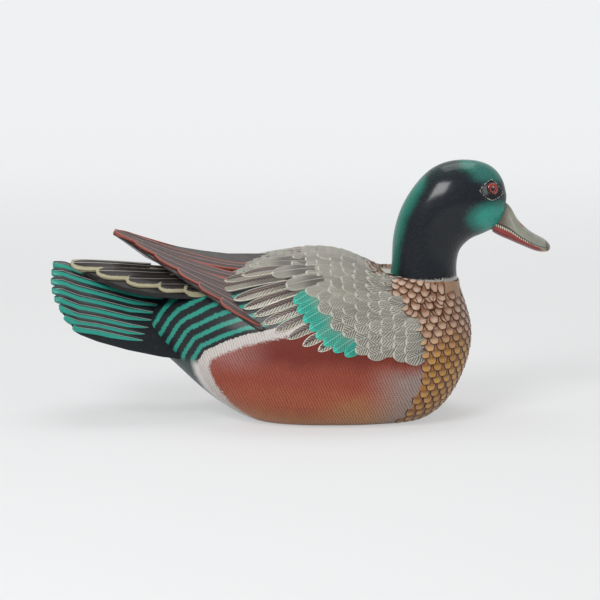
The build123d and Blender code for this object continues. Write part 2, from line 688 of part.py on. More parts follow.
with BuildPart() as body_upper:
    add(block.part)
    split(bisect_by=Plane.XY.offset(SEAM_Z), keep=Keep.TOP)
    add(upper_cavity, mode=Mode.SUBTRACT)
    add(seam_dowels.part, mode=Mode.SUBTRACT)
    add(disc(bush_radius, 0, CEILING_Z, NECK_SEAT_Z), mode=Mode.SUBTRACT)
    add(disc(BUSH_FLANGE_RADIUS, 0, flange_bottom, NECK_SEAT_Z), mode=Mode.SUBTRACT)
    add(disc(FIBRE_WASHER_RADIUS, 0, washer_bottom, NECK_SEAT_Z), mode=Mode.SUBTRACT)
body_upper.part.label = "body_upper"

# ---------------------------------------------------------------- files
os.makedirs("parts", exist_ok=True)
export_step(body_lower.part, "parts/body_lower.step")
export_step(body_upper.part, "parts/body_upper.step")
export_step(seam_dowels.part, "parts/seam_dowels.step")
export_step(wing_left.part, "parts/wing_left.step")
export_step(wing_right, "parts/wing_right.step")
export_step(primaries_left.part, "parts/primaries_left.step")
export_step(primaries_right, "parts/primaries_right.step")
export_step(tail_fan.part, "parts/tail_fan.step")
export_step(rump_coverts.part, "parts/rump_coverts.step")
export_step(head.part, "parts/head.step")
export_step(bill_upper, "parts/bill_upper.step")
export_step(bill_lower.part, "parts/bill_lower.step")
export_step(eye_left.part, "parts/eye_left.step")
export_step(eye_right, "parts/eye_right.step")
export_step(neck_stud.part, "parts/neck_stud.step")
export_step(neck_bush.part, "parts/neck_bush.step")
export_step(fibre_washer.part, "parts/fibre_washer.step")
export_step(clamp_washer.part, "parts/clamp_washer.step")
export_step(spring_washer.part, "parts/spring_washer.step")
export_step(lock_nut.part, "parts/lock_nut.step")
export_step(ballast_weight.part, "parts/ballast_weight.step")
export_step(ballast_screws.part, "parts/ballast_screws.step")
export_step(anchor_clip.part, "parts/anchor_clip.step")
export_step(clip_screws.part, "parts/clip_screws.step")
export_step(anchor_bail.part, "parts/anchor_bail.step")
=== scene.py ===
"""Carved and painted looks of a wooden floating duck decoy, built round its CAD frame.

Lengths are in millimetres until a mesh is made, in the frame's axes: +X towards the bill,
+Y to the duck's left, +Z up, with z = 0 on the surface that the decoy stands on.
"""

import logging
import math
from dataclasses import dataclass, field
from enum import Enum
from typing import Callable, Dict, List, Optional, Sequence, Tuple

import bpy
import numpy as np
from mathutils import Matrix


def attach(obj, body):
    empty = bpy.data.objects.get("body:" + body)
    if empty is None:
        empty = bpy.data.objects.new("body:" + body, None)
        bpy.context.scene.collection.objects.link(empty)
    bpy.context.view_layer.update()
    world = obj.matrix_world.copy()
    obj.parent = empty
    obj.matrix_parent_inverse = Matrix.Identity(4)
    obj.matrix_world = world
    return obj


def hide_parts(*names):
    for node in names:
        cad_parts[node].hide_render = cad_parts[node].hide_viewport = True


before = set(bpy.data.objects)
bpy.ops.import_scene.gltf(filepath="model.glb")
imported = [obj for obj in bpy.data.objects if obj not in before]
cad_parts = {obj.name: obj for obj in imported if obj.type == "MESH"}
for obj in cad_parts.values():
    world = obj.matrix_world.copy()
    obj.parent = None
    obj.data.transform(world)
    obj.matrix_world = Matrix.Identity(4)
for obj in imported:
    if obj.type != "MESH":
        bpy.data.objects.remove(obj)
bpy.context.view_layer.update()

log = logging.getLogger("decoy")

MM = 0.001
Array = np.ndarray
Colour = Tuple[float, float, float]
Chart = Callable[[Array], Array]


class Zone(Enum):
    """The names of the numbers that the meshes carry for their paint."""

    ALONG = "along"          # from a feather's tip towards its root, in metres
    ACROSS = "across"        # from a feather's shaft to its edge, in metres, signed
    SPAN = "span"            # half the feather's width at that place, in metres
    TONE = "tone"            # one random number for each feather
    FLANK = "flank"          # depth inside the flank patch, in metres
    BREAST = "breast"        # how far in front of the breast line, in metres
    COVER = "cover"          # 1 under the wings, where the body is in shadow
    NAPE = "nape"            # strength of the teal on the nape, crown and forehead
    CHEEK = "cheek"          # strength of the teal on the cheek
    MASK = "mask"            # depth inside the black almond round the eye, in metres
    GIRTH = "girth"          # place round a bill's section, 0 at its lower edge
    REACH = "reach"          # place along the bill, 0 at its root


# ------------------------------------------------------------------ sizes shared with the frame
TURN_X, TURN_Z, TURN_INNER = 62.0, 128.0, 9.0


def fan_station(angle: float, reach: float, half_width: float, widest: float) -> List[float]:
    """A breast section, turned by angle degrees about the turning line over the back.

    Args:
        angle: degrees from upright, towards the bill.
        reach: distance from the turning line to the section's outer end.
        half_width: half its width.
        widest: height of its widest line, as a share of its height.

    Returns:
        One row of a station table: top x, z, bottom x, z, half-width, widest.
    """
    across, down = math.sin(math.radians(angle)), -math.cos(math.radians(angle))
    return [
        TURN_X + TURN_INNER * across, TURN_Z + TURN_INNER * down,
        TURN_X + reach * across, TURN_Z + reach * down, half_width, widest,
    ]


BODY_TABLE = [
    [-124.0, 84.0, -117.0, 58.0, 22.0, 0.50],
    [-105.0, 97.0, -100.0, 44.0, 36.0, 0.50],
    [-80.0, 110.0, -80.0, 26.0, 51.0, 0.48],
    [-50.0, 121.0, -50.0, 5.5, 65.0, 0.45],
    [-20.0, 129.5, -20.0, -4.0, 74.0, 0.42],
    [15.0, 133.5, 15.0, -6.0, 79.0, 0.40],
    [42.0, 128.5, 42.0, -6.0, 77.0, 0.40],
    fan_station(0.0, 133.0, 73.0, 0.40),
    fan_station(18.0, 131.0, 66.0, 0.42),
    fan_station(36.0, 114.0, 54.0, 0.45),
    fan_station(54.0, 91.0, 41.0, 0.50),
    fan_station(72.0, 68.0, 31.0, 0.50),
    fan_station(90.0, 64.0, 27.0, 0.50),
]
SEAT_Z = 110.0
HEAD_BASE_Z = 110.3
NECK_X, NECK_RADIUS = 99.0, 27.2
HEAD_TABLE = [
    [NECK_X - NECK_RADIUS, HEAD_BASE_Z, NECK_X + NECK_RADIUS, HEAD_BASE_Z, NECK_RADIUS, 0.50],
    [73.4, 121.0, 125.6, 119.0, 25.5, 0.50],
    [74.4, 141.0, 127.0, 130.5, 24.0, 0.50],
    [79.0, 162.0, 130.5, 137.0, 23.5, 0.50],
    [90.0, 183.0, 137.5, 143.0, 24.0, 0.50],
    [107.0, 200.0, 144.5, 146.0, 24.5, 0.48],
    [129.0, 206.0, 150.0, 148.5, 23.5, 0.45],
    [147.0, 203.5, 154.0, 150.0, 20.0, 0.45],
    [157.0, 197.0, 157.5, 151.5, 15.0, 0.45],
    [162.5, 188.0, 160.0, 154.5, 10.5, 0.45],
    [165.0, 178.0, 162.0, 158.0, 7.0, 0.50],
]


# ------------------------------------------------------------------ curves and surfaces
def smooth(low: float, high: float, value: Array) -> Array:
    """Rises from 0 at low to 1 at high along the cubic 3t^2 - 2t^3."""
    t = np.clip((np.asarray(value) - low) / (high - low), 0.0, 1.0)
    return t * t * (3.0 - 2.0 * t)


class Curve:
    """A natural cubic spline through rows of numbers, with its parameter from 0 to 1."""

    def __init__(self, rows: Sequence[Sequence[float]], gaps: Array) -> None:
        """Solves the spline's second derivatives, which are zero at both ends.

        Args:
            rows: the values at each knot.
            gaps: the distance between one knot and the next.
        """
        self.values = np.array(rows, dtype=float)
        self.knots = np.concatenate([[0.0], np.cumsum(gaps)]) / np.sum(gaps)
        step = np.diff(self.knots)
        count = len(self.knots)
        system = np.eye(count)
        right = np.zeros_like(self.values)
        inner = np.arange(1, count - 1)
        system[inner, inner - 1] = step[:-1]
        system[inner, inner] = 2.0 * (step[:-1] + step[1:])
        system[inner, inner + 1] = step[1:]
        slope = np.diff(self.values, axis=0) / step[:, None]
        right[1:-1] = 6.0 * np.diff(slope, axis=0)
        self.bend = np.linalg.solve(system, right)

    def at(self, u: Array) -> Array:
        """The cubic between the two knots round each u, as rows of values.

        Args:
            u: places along the curve.

        Returns:
            One row of values for each u.
        """
        u = np.clip(np.asarray(u, dtype=float), 0.0, 1.0)
        cell = np.clip(np.searchsorted(self.knots, u) - 1, 0, len(self.knots) - 2)
        step = (self.knots[cell + 1] - self.knots[cell])[..., None]
        b = ((u - self.knots[cell])[..., None]) / step
        a = 1.0 - b
        return (
            a * self.values[cell] + b * self.values[cell + 1]
            + ((a**3 - a) * self.bend[cell] + (b**3 - b) * self.bend[cell + 1]) * step**2 / 6.0
        )


class Surface:
    """A surface of two parameters that carved pieces lie on."""

    steps: Tuple[float, float] = (1e-3, 1e-3)
    facing: float = 1.0              # -1 where the two tangents' product points inwards

    def point(self, u: Array, v: Array) -> Array:
        """The point of the bare surface at each u, v."""
        raise NotImplementedError

    def tangents(self, u: Array, v: Array) -> Tuple[Array, Array, Array]:
        """Central differences along both parameters, and the unit normal between them.

        Args:
            u: first parameter.
            v: second parameter.

        Returns:
            Tangent along u, tangent along v and unit normal.
        """
        du, dv = self.steps
        along = (self.point(u + du, v) - self.point(u - du, v)) / (2.0 * du)
        across = (self.point(u, v + dv) - self.point(u, v - dv)) / (2.0 * dv)
        normal = np.cross(along, across) * self.facing
        normal /= np.linalg.norm(normal, axis=-1, keepdims=True) + 1e-12
        return along, across, normal


class Loft(Surface):
    """A tube through upright or turned sections, each an oval with its own fullness.

    A section is bottom + up * (height of the widest line + rise * |sin v|^(2/fullness)) with
    half-width * |cos v|^(2/fullness) to the side, where v is -90 degrees at the bottom, 0 on
    the duck's left and 90 degrees at the top.
    """

    facing = -1.0

    def __init__(
        self, table: Sequence[Sequence[float]], upper: float, lower: float, grow: float = 0.0
    ) -> None:
        """Keeps the stations as a curve of rows, spaced by the way between their middles.

        Args:
            table: top x, top z, bottom x, bottom z, half-width and widest share of each station.
            upper: fullness above the widest line.
            lower: fullness below it.
            grow: how far the surface stands off the carving.
        """
        self.grow = grow
        rows = np.array(table)
        middles = (rows[:, 0:2] + rows[:, 2:4]) / 2.0
        gaps = np.linalg.norm(np.diff(middles, axis=0), axis=1)
        self.curve = Curve(rows, gaps)
        self.upper, self.lower = upper, lower

    def point(self, u: Array, v: Array) -> Array:
        """The point on the section at u, at the angle v.

        Args:
            u: place along the stations.
            v: angle round the section.

        Returns:
            Points in millimetres.
        """
        u, v = np.broadcast_arrays(np.asarray(u, float), np.asarray(v, float))
        rows = self.curve.at(u)
        top, bottom = rows[..., 0:2], rows[..., 2:4]
        rise = top - bottom
        height = np.linalg.norm(rise, axis=-1) + 1e-9
        half, widest = np.maximum(rows[..., 4], 0.5) + self.grow, rows[..., 5]
        sin, cos = np.sin(v), np.cos(v)
        power = np.where(sin >= 0, 2.0 / self.upper, 2.0 / self.lower)
        rises = np.where(sin >= 0, 1.0 - widest, widest) * height + self.grow
        up = np.sign(sin) * rises * np.abs(sin) ** power
        share = (widest * height + up) / height
        out = np.empty(u.shape + (3,))
        out[..., 0] = bottom[..., 0] + rise[..., 0] * share
        out[..., 1] = half * np.sign(cos) * np.abs(cos) ** power
        out[..., 2] = bottom[..., 1] + rise[..., 1] * share
        return out

    def seek(self, chart: Chart, targets: Array, low: float = -1.56, high: float = 1.56) -> Array:
        """Parameters of the left side's points nearest to targets in a chart.

        Args:
            chart: turns points into the two numbers that the targets are given in.
            targets: rows of those two numbers.
            low: least section angle that is searched.
            high: greatest section angle that is searched.

        Returns:
            Rows of u and v.
        """
        us, vs = np.meshgrid(np.linspace(0.0, 1.0, 321), np.linspace(low, high, 161), indexing="ij")
        places = chart(self.point(us, vs)).reshape(-1, 2)
        params = np.stack([us.ravel(), vs.ravel()], axis=1)
        best = [int(np.argmin(np.sum((places - target) ** 2, axis=1))) for target in targets]
        found = params[best]
        for _ in range(3):
            here = chart(self.point(found[:, 0], found[:, 1]))
            du, dv = 1e-4, 1e-4
            by_u = (chart(self.point(found[:, 0] + du, found[:, 1])) - here) / du
            by_v = (chart(self.point(found[:, 0], found[:, 1] + dv)) - here) / dv
            miss = targets - here
            det = by_u[:, 0] * by_v[:, 1] - by_u[:, 1] * by_v[:, 0]
            det = np.where(np.abs(det) < 1e-6, 1e-6, det)
            step_u = (miss[:, 0] * by_v[:, 1] - miss[:, 1] * by_v[:, 0]) / det
            step_v = (by_u[:, 0] * miss[:, 1] - by_u[:, 1] * miss[:, 0]) / det
            found = found + np.stack(
                [np.clip(step_u, -0.004, 0.004), np.clip(step_v, -0.02, 0.02)], axis=1
            )
            found[:, 1] = np.clip(found[:, 1], low, high)
        return found


class Back(Loft):
    """The body's surface, hollowed round the neck so that the head turns clear of it.

    Inside a radius of 29 mm from the neck's axis it is flat at the seat; outside, it may rise
    by 1.1 mm for each millimetre of radius, and the two meet softly.
    """

    def __init__(self, grow: float, sunk: float = 0.0) -> None:
        """The body's loft, grown by grow, with the seat sunk a little deeper."""
        super().__init__(BODY_TABLE, 2.0, 2.5, grow)
        self.seat = SEAT_Z - 0.3 - sunk

    def point(self, u: Array, v: Array) -> Array:
        """The loft's point, no higher than the hollow round the neck.

        Args:
            u: place along the stations.
            v: angle round the section.

        Returns:
            Points in millimetres.
        """
        out = super().point(u, v)
        away = np.hypot(out[..., 0] - NECK_X, out[..., 1]) - NECK_RADIUS - 1.8
        cap = self.seat + 1.1 * (np.sqrt(np.maximum(away, 0.0) ** 2 + 4.0) - 2.0)
        gap = cap - out[..., 2]
        out[..., 2] = (out[..., 2] + cap - np.sqrt(gap**2 + 0.09)) / 2.0
        return out


class Roof(Surface):
    """A ridged surface over the plan: z = ridge - slope * (sqrt(y^2 + r^2) - r).

    Its two parameters are the plan's x and y in millimetres.
    """

    steps = (0.2, 0.2)

    def __init__(self, table: Sequence[Sequence[float]], rounding: float) -> None:
        """Keeps ridge height, half-width and eave height against x.

        Args:
            table: x, ridge, half-width and eave of each station, from front to rear.
            rounding: radius r that softens the ridge.
        """
        self.rows = np.array(sorted(table))
        self.rounding = rounding

    def slope(self, x: Array) -> Tuple[Array, Array]:
        """Ridge height and slope at each x.

        Args:
            x: places along the duck.

        Returns:
            Ridge height and slope.
        """
        ridge, half, eave = (np.interp(x, self.rows[:, 0], self.rows[:, i]) for i in (1, 2, 3))
        fall = np.sqrt(half**2 + self.rounding**2) - self.rounding
        return ridge, (ridge - eave) / fall

    def point(self, u: Array, v: Array) -> Array:
        """The roof's point over the plan's x = u, y = v.

        Args:
            u: x in the plan.
            v: y in the plan.

        Returns:
            Points in millimetres.
        """
        u, v = np.broadcast_arrays(np.asarray(u, float), np.asarray(v, float))
        ridge, slope = self.slope(u)
        z = ridge - slope * (np.sqrt(v**2 + self.rounding**2) - self.rounding)
        return np.stack([u, v, z], axis=-1)


# ------------------------------------------------------------------ meshes
@dataclass
class Shape:
    """A mesh as whole arrays, in millimetres, with the numbers its paint reads."""

    points: Array
    quads: Array
    marks: Dict[str, Array] = field(default_factory=dict)

    def outward(self) -> "Shape":
        """The shape with its faces turned outwards, by the sign of its volume.

        Returns:
            This shape, or the same one with every face reversed.
        """
        a, b, c, d = (self.points[self.quads[:, i]] for i in range(4))
        volume = np.sum(a * np.cross(b, c)) + np.sum(a * np.cross(c, d))
        return self if volume > 0 else Shape(self.points, self.quads[:, ::-1], self.marks)

    def mirrored(self) -> "Shape":
        """The same shape on the other side, with its faces turned to point outwards.

        Returns:
            The mirror image in the plane y = 0.
        """
        points = self.points * np.array([1.0, -1.0, 1.0])
        marks = {name: np.array(values) for name, values in self.marks.items()}
        return Shape(points, self.quads[:, ::-1], marks)

    @staticmethod
    def joined(shapes: Sequence["Shape"]) -> "Shape":
        """Several shapes as one, with their faces renumbered.

        Args:
            shapes: the shapes, all with the same marks.

        Returns:
            One shape.
        """
        offsets = np.cumsum([0] + [len(shape.points) for shape in shapes[:-1]])
        quads = np.concatenate([shape.quads + start for shape, start in zip(shapes, offsets)])
        names = shapes[0].marks
        marks = {name: np.concatenate([shape.marks[name] for shape in shapes]) for name in names}
        return Shape(np.concatenate([shape.points for shape in shapes]), quads, marks)

    def build(self, name: str, crease: float = 40.0) -> bpy.types.Object:
        """Makes the Blender object, in metres, with its marks as point attributes.

        Args:
            name: the object's name.
            crease: edges sharper than this many degrees stay sharp.

        Returns:
            The new object, linked into the scene.
        """
        mesh = bpy.data.meshes.new(name)
        count = len(self.quads)
        mesh.vertices.add(len(self.points))
        mesh.vertices.foreach_set("co", (self.points * MM).astype(np.float32).ravel())
        mesh.loops.add(4 * count)
        mesh.loops.foreach_set("vertex_index", self.quads.astype(np.int32).ravel())
        mesh.polygons.add(count)
        mesh.polygons.foreach_set("loop_start", np.arange(0, 4 * count, 4, dtype=np.int32))
        mesh.update(calc_edges=True)
        mesh.validate()
        for mark, values in self.marks.items():
            layer = mesh.attributes.new(mark, "FLOAT", "POINT")
            layer.data.foreach_set("value", values.astype(np.float32).ravel())
        return placed(mesh, name, crease)


def placed(mesh: bpy.types.Mesh, name: str, crease: float) -> bpy.types.Object:
    """Links a mesh as a smooth-shaded object that keeps edges sharper than crease degrees.

    Args:
        mesh: the finished mesh.
        name: the object's name.
        crease: angle in degrees.

    Returns:
        The linked object.
    """
    mesh.polygons.foreach_set("use_smooth", np.ones(len(mesh.polygons), dtype=bool))
    mesh.set_sharp_from_angle(angle=math.radians(crease))
    piece = bpy.data.objects.new(name, mesh)
    bpy.context.scene.collection.objects.link(piece)
    return piece


def grid_quads(rows: int, cols: int, wrap: bool = False) -> Array:
    """Faces of a grid of rows by cols points, joined round its columns if wrap is true.

    Args:
        rows: points along.
        cols: points across.
        wrap: whether the last column meets the first.

    Returns:
        Four indices for each face.
    """
    r, c = np.meshgrid(np.arange(rows - 1), np.arange(cols if wrap else cols - 1), indexing="ij")
    after = (c + 1) % cols
    a, b = r * cols + c, r * cols + after
    d, e = (r + 1) * cols + c, (r + 1) * cols + after
    return np.stack([a, b, e, d], axis=-1).reshape(-1, 4)


def rim_loop(rows: int, cols: int) -> Array:
    """Indices round a grid's edge, in the order of its faces.

    Args:
        rows: points along.
        cols: points across.

    Returns:
        The rim points in order.
    """
    top = np.arange(cols)
    right = np.arange(1, rows) * cols + cols - 1
    bottom = (rows - 1) * cols + np.arange(cols - 2, -1, -1)
    left = np.arange(rows - 2, 0, -1) * cols
    return np.concatenate([top, right, bottom, left])


def slab_quads(rows: int, cols: int) -> Array:
    """Faces of a closed slab: a top grid, a bottom grid and the wall between their rims.

    Args:
        rows: points along.
        cols: points across.

    Returns:
        Four indices for each face.
    """
    top = grid_quads(rows, cols)
    rim = rim_loop(rows, cols)
    after = np.roll(rim, -1)
    count = rows * cols
    wall = np.stack([after, rim, rim + count, after + count], axis=-1)
    return np.concatenate([top, top[:, ::-1] + count, wall])


@dataclass(frozen=True)
class FeatherForm:
    """How a carved feather is shaped, in millimetres and shares of its size."""

    rows: int = 10
    cols: int = 5
    tip_share: float = 0.4       # of its length, over which the tip is rounded
    tip_power: float = 2.0       # 2 is a round tip, more is squarer
    root_share: float = 0.7      # width at the root
    root_lift: float = 0.0
    tip_lift: float = 1.4
    camber: float = 0.5          # how far the shaft stands above the edges
    depth: float = 1.5           # how far its underside is below the surface
    bend: float = 0.0            # sideways bow at its middle

    def half_width(self, s: Array) -> Array:
        """Share of the full half-width: a smooth rise from the root, then a rounded tip.

        Args:
            s: share of the length from the root.

        Returns:
            Share of the half-width at each s.
        """
        rise = self.root_share + (1.0 - self.root_share) * smooth(0.0, 0.6, s)
        into_tip = np.clip((s - 1.0 + self.tip_share) / self.tip_share, 0.0, 1.0)
        return rise * np.maximum(1.0 - into_tip**self.tip_power, 0.0) ** (1.0 / self.tip_power)


def lay_feathers(
    surface: Surface, roots: Array, tips: Array, half_widths: Array, form: FeatherForm,
    seed: int, raised: Optional[Array] = None,
) -> Shape:
    """Closed feathers lying on a surface, all worked out at once.

    Each feather's middle line runs straight in the surface's parameters from root to tip. A
    point is that line plus t * half-width along the surface, at right angles to the line. Its
    height is root lift + (tip lift - root lift) * s + camber * (1 - t^2).

    Args:
        surface: what the feathers lie on.
        roots: surface parameters of each feather's root.
        tips: surface parameters of each feather's tip.
        half_widths: half of each feather's width.
        form: the shape that they share.
        seed: seed of their random tones.
        raised: how much higher each feather lies than the form says.

    Returns:
        One shape with all the feathers.
    """
    roots, tips = np.asarray(roots, float), np.asarray(tips, float)
    half_widths = np.broadcast_to(np.asarray(half_widths, float), (len(roots),))
    ease = np.linspace(0.0, 1.0, form.rows)
    s = 1.0 - (1.0 - ease) ** 1.5
    s[-1] = 0.997
    t = np.linspace(-1.0, 1.0, form.cols)
    way = (tips - roots)[:, None, :]
    middle = roots[:, None, :] + way * s[None, :, None]
    by_u, by_v, normal = surface.tangents(middle[..., 0], middle[..., 1])
    along = by_u * way[..., 0:1] + by_v * way[..., 1:2]
    length = np.linalg.norm(along, axis=-1).mean(axis=1)
    along /= np.linalg.norm(along, axis=-1, keepdims=True)
    side = np.cross(normal, along)
    uu, uv, vv = (np.sum(a * b, axis=-1) for a, b in ((by_u, by_u), (by_u, by_v), (by_v, by_v)))
    su, sv = np.sum(by_u * side, axis=-1), np.sum(by_v * side, axis=-1)
    det = uu * vv - uv * uv
    per_mm = np.stack([(vv * su - uv * sv) / det, (uu * sv - uv * su) / det], axis=-1)
    width = half_widths[:, None] * form.half_width(s)[None, :]
    bow = form.bend * np.sin(np.pi * s)[None, :, None]
    offset = width[:, :, None] * t + bow
    place = middle[:, :, None, :] + per_mm[:, :, None, :] * offset[..., None]
    base = surface.point(place[..., 0], place[..., 1])
    out = surface.tangents(place[..., 0], place[..., 1])[2]
    lift = form.root_lift + (form.tip_lift - form.root_lift) * s[None, :, None]
    lift = lift + form.camber * (1.0 - t[None, None, :] ** 2)
    extra = np.zeros(len(roots)) if raised is None else np.asarray(raised, float)
    lift = np.broadcast_to(lift, base.shape[:-1]) + extra[:, None, None]
    upper = base + out * lift[..., None]
    under = base - out * form.depth
    count, slab = len(roots), 2 * form.rows * form.cols
    points = np.concatenate([upper.reshape(count, -1, 3), under.reshape(count, -1, 3)], axis=1)
    template = slab_quads(form.rows, form.cols)
    starts = np.arange(count) * slab
    quads = (template[None] + starts[:, None, None]).reshape(-1, 4)

    def doubled(values: Array) -> Array:
        """The same number on the upper and the under side, in metres."""
        full = np.broadcast_to(values, upper.shape[:-1]).reshape(count, -1)
        return np.concatenate([full, full], axis=1).ravel()

    tones = np.random.default_rng(seed).random(count)
    marks = {
        Zone.ALONG.value: doubled(((1.0 - s)[None, :] * length[:, None])[..., None]) * MM,
        Zone.ACROSS.value: doubled(width[:, :, None] * t) * MM,
        Zone.SPAN.value: doubled(width[:, :, None]) * MM,
        Zone.TONE.value: doubled(tones[:, None, None]),
    }
    return Shape(points.reshape(-1, 3), quads, marks).outward()


def side_view(points: Array) -> Array:
    """The chart of X and Z."""
    return np.stack([points[..., 0], points[..., 2]], axis=-1)


def wrap_view(points: Array) -> Array:
    """The chart of X and the way round the back: 76 mm times the angle about z = 55."""
    angle = np.arctan2(points[..., 2] - 55.0, points[..., 1])
    return np.stack([points[..., 0], 76.0 * angle], axis=-1)


def breast_view(points: Array) -> Array:
    """The chart of the way round the breast, 55 mm times the angle about x = 40, and Z."""
    angle = np.arctan2(points[..., 1], points[..., 0] - 40.0)
    return np.stack([55.0 * angle, points[..., 2]], axis=-1)


def neck_view(points: Array) -> Array:
    """The chart of 45 mm times the angle about the neck's axis, and the distance from it."""
    x, y = points[..., 0] - NECK_X, points[..., 1]
    return np.stack([45.0 * np.arctan2(y, x), np.hypot(x, y)], axis=-1)


def inside(places: Array, outline: Sequence[Tuple[float, float]]) -> Array:
    """Whether each place is inside an outline, by how often a ray to +X crosses its sides.

    Args:
        places: places in a chart.
        outline: the outline's corners.

    Returns:
        True for each place inside.
    """
    ring = np.array(outline)
    after = np.roll(ring, -1, axis=0)
    x, z = places[:, None, 0], places[:, None, 1]
    spans = (ring[:, 1] > z) != (after[:, 1] > z)
    fall = np.where(after[:, 1] == ring[:, 1], 1e-9, after[:, 1] - ring[:, 1])
    crossing = ring[:, 0] + (z - ring[:, 1]) * (after[:, 0] - ring[:, 0]) / fall
    return np.sum(spans & (x < crossing), axis=1) % 2 == 1


def line_distance(places: Array, line: Sequence[Tuple[float, float]]) -> Array:
    """Signed distance from each place to a line of points, positive on the right of its way.

    Args:
        places: places in a chart.
        line: the line's points.

    Returns:
        The distance for each place.
    """
    knots = np.array(line)
    start, way = knots[:-1], np.diff(knots, axis=0)
    rel = places[:, None, :] - start
    share = np.clip(np.sum(rel * way, axis=-1) / np.sum(way**2, axis=-1), 0.0, 1.0)
    away = rel - share[..., None] * way
    far = np.linalg.norm(away, axis=-1)
    nearest = np.argmin(far, axis=1)
    pick = np.arange(len(places))
    turn = way[:, 0] * rel[..., 1] - way[:, 1] * rel[..., 0]
    return far[pick, nearest] * -np.sign(turn[pick, nearest] + 1e-12)


def lattice(
    low: Tuple[float, float], high: Tuple[float, float], step: Tuple[float, float]
) -> Array:
    """Staggered places between two corners: every second row is moved by half a step.

    Args:
        low: lower corner.
        high: upper corner.
        step: spacing both ways.

    Returns:
        Places, one in each row.
    """
    first = np.arange(low[0], high[0], step[0])
    second = np.arange(low[1], high[1], step[1])
    a, b = np.meshgrid(first, second, indexing="ij")
    b = b + np.where(np.arange(len(first)) % 2 == 1, step[1] / 2.0, 0.0)[:, None]
    return np.stack([a.ravel(), b.ravel()], axis=1)


# ------------------------------------------------------------------ paint
def srgb(code: str) -> Tuple[float, float, float, float]:
    """The linear colour of a six-digit display colour.

    Args:
        code: six hexadecimal digits.

    Returns:
        Red, green, blue and alpha.
    """
    parts = [int(code[i:i + 2], 16) / 255.0 for i in (0, 2, 4)]
    linear = [c / 12.92 if c <= 0.04045 else ((c + 0.055) / 1.055) ** 2.4 for c in parts]
    return (linear[0], linear[1], linear[2], 1.0)


class Tree:
    """Short ways to add nodes to one node tree. A value is a socket or a plain number."""

    def __init__(self, tree: bpy.types.NodeTree) -> None:
        """Keeps the tree that the nodes are added to."""
        self.tree = tree

    def node(self, kind: str, **values: object) -> bpy.types.Node:
        """A new node with some of its settings.

        Args:
            kind: the node's type.
            values: settings by name.

        Returns:
            The node.
        """
        made = self.tree.nodes.new(kind)
        for name, value in values.items():
            setattr(made, name, value)
        return made

    def put(self, socket: bpy.types.NodeSocket, value: object) -> None:
        """Links a socket to another one, or sets it to a constant.

        Args:
            socket: the input to fill.
            value: a socket or a constant.
        """
        if isinstance(value, bpy.types.NodeSocket):
            self.tree.links.new(value, socket)
        else:
            socket.default_value = value

    def math(
        self, kind: str, a: object, b: object = 0.0, clamp: bool = False
    ) -> bpy.types.NodeSocket:
        """One arithmetic step between two values.

        Args:
            kind: the operation.
            a: first value.
            b: second value.
            clamp: whether to keep it in 0 to 1.

        Returns:
            The result.
        """
        made = self.node("ShaderNodeMath", operation=kind, use_clamp=clamp)
        self.put(made.inputs[0], a)
        self.put(made.inputs[1], b)
        return made.outputs[0]

    def mix(self, share: object, a: object, b: object) -> bpy.types.NodeSocket:
        """Colour a where share is 0, colour b where it is 1.

        Args:
            share: share of b.
            a: first colour.
            b: second colour.

        Returns:
            The colour.
        """
        made = self.node("ShaderNodeMix", data_type="RGBA")
        self.put(made.inputs[0], share)
        self.put(made.inputs[6], a)
        self.put(made.inputs[7], b)
        return made.outputs[2]

    def step(self, value: object, low: float, high: float, first: float = 0.0,
             last: float = 1.0) -> bpy.types.NodeSocket:
        """A smooth change from first at low to last at high.

        Args:
            value: what is compared.
            low: start of the change.
            high: its end.
            first: result below low.
            last: result above high.

        Returns:
            The result.
        """
        made = self.node("ShaderNodeMapRange", interpolation_type="SMOOTHSTEP")
        self.put(made.inputs[0], value)
        for index, number in zip((1, 2, 3, 4), (low, high, first, last)):
            made.inputs[index].default_value = number
        return made.outputs[0]

    def mark(self, zone: Zone) -> bpy.types.NodeSocket:
        """One of the numbers that the mesh carries."""
        return self.node("ShaderNodeAttribute", attribute_name=zone.value).outputs["Fac"]

    def place(self) -> Tuple[bpy.types.NodeSocket, ...]:
        """The object's own coordinates: the vector, x, y and z.

        Returns:
            The vector, x, y and z.
        """
        vector = self.node("ShaderNodeTexCoord").outputs["Object"]
        split = self.node("ShaderNodeSeparateXYZ")
        self.put(split.inputs[0], vector)
        return (vector, split.outputs[0], split.outputs[1], split.outputs[2])

    def vector(self, x: object, y: object, z: object) -> bpy.types.NodeSocket:
        """Three values as one vector.

        Args:
            x: first part.
            y: second part.
            z: third part.

        Returns:
            The vector.
        """
        made = self.node("ShaderNodeCombineXYZ")
        for socket, value in zip(made.inputs, (x, y, z)):
            self.put(socket, value)
        return made.outputs[0]

    def noise(self, scale: float, detail: float = 2.0, vector: object = None,
              roughness: float = 0.55) -> bpy.types.NodeSocket:
        """Plain noise from about 0 to 1.

        Args:
            scale: cells for each metre.
            detail: octaves.
            vector: where it is read, or the object's own place.
            roughness: share of each finer octave.

        Returns:
            The noise.
        """
        made = self.node("ShaderNodeTexNoise")
        made.inputs["Scale"].default_value = scale
        made.inputs["Detail"].default_value = detail
        made.inputs["Roughness"].default_value = roughness
        self.put(made.inputs["Vector"], vector if vector is not None else self.place()[0])
        return made.outputs["Fac"]

    def group(self, made: bpy.types.NodeTree, *values: object) -> bpy.types.NodeOutputs:
        """A shared effect, with its inputs in order.

        Args:
            made: the effect.
            values: its inputs in order.

        Returns:
            Its outputs.
        """
        node = self.node("ShaderNodeGroup", node_tree=made)
        for socket, value in zip(node.inputs, values):
            self.put(socket, value)
        return node.outputs


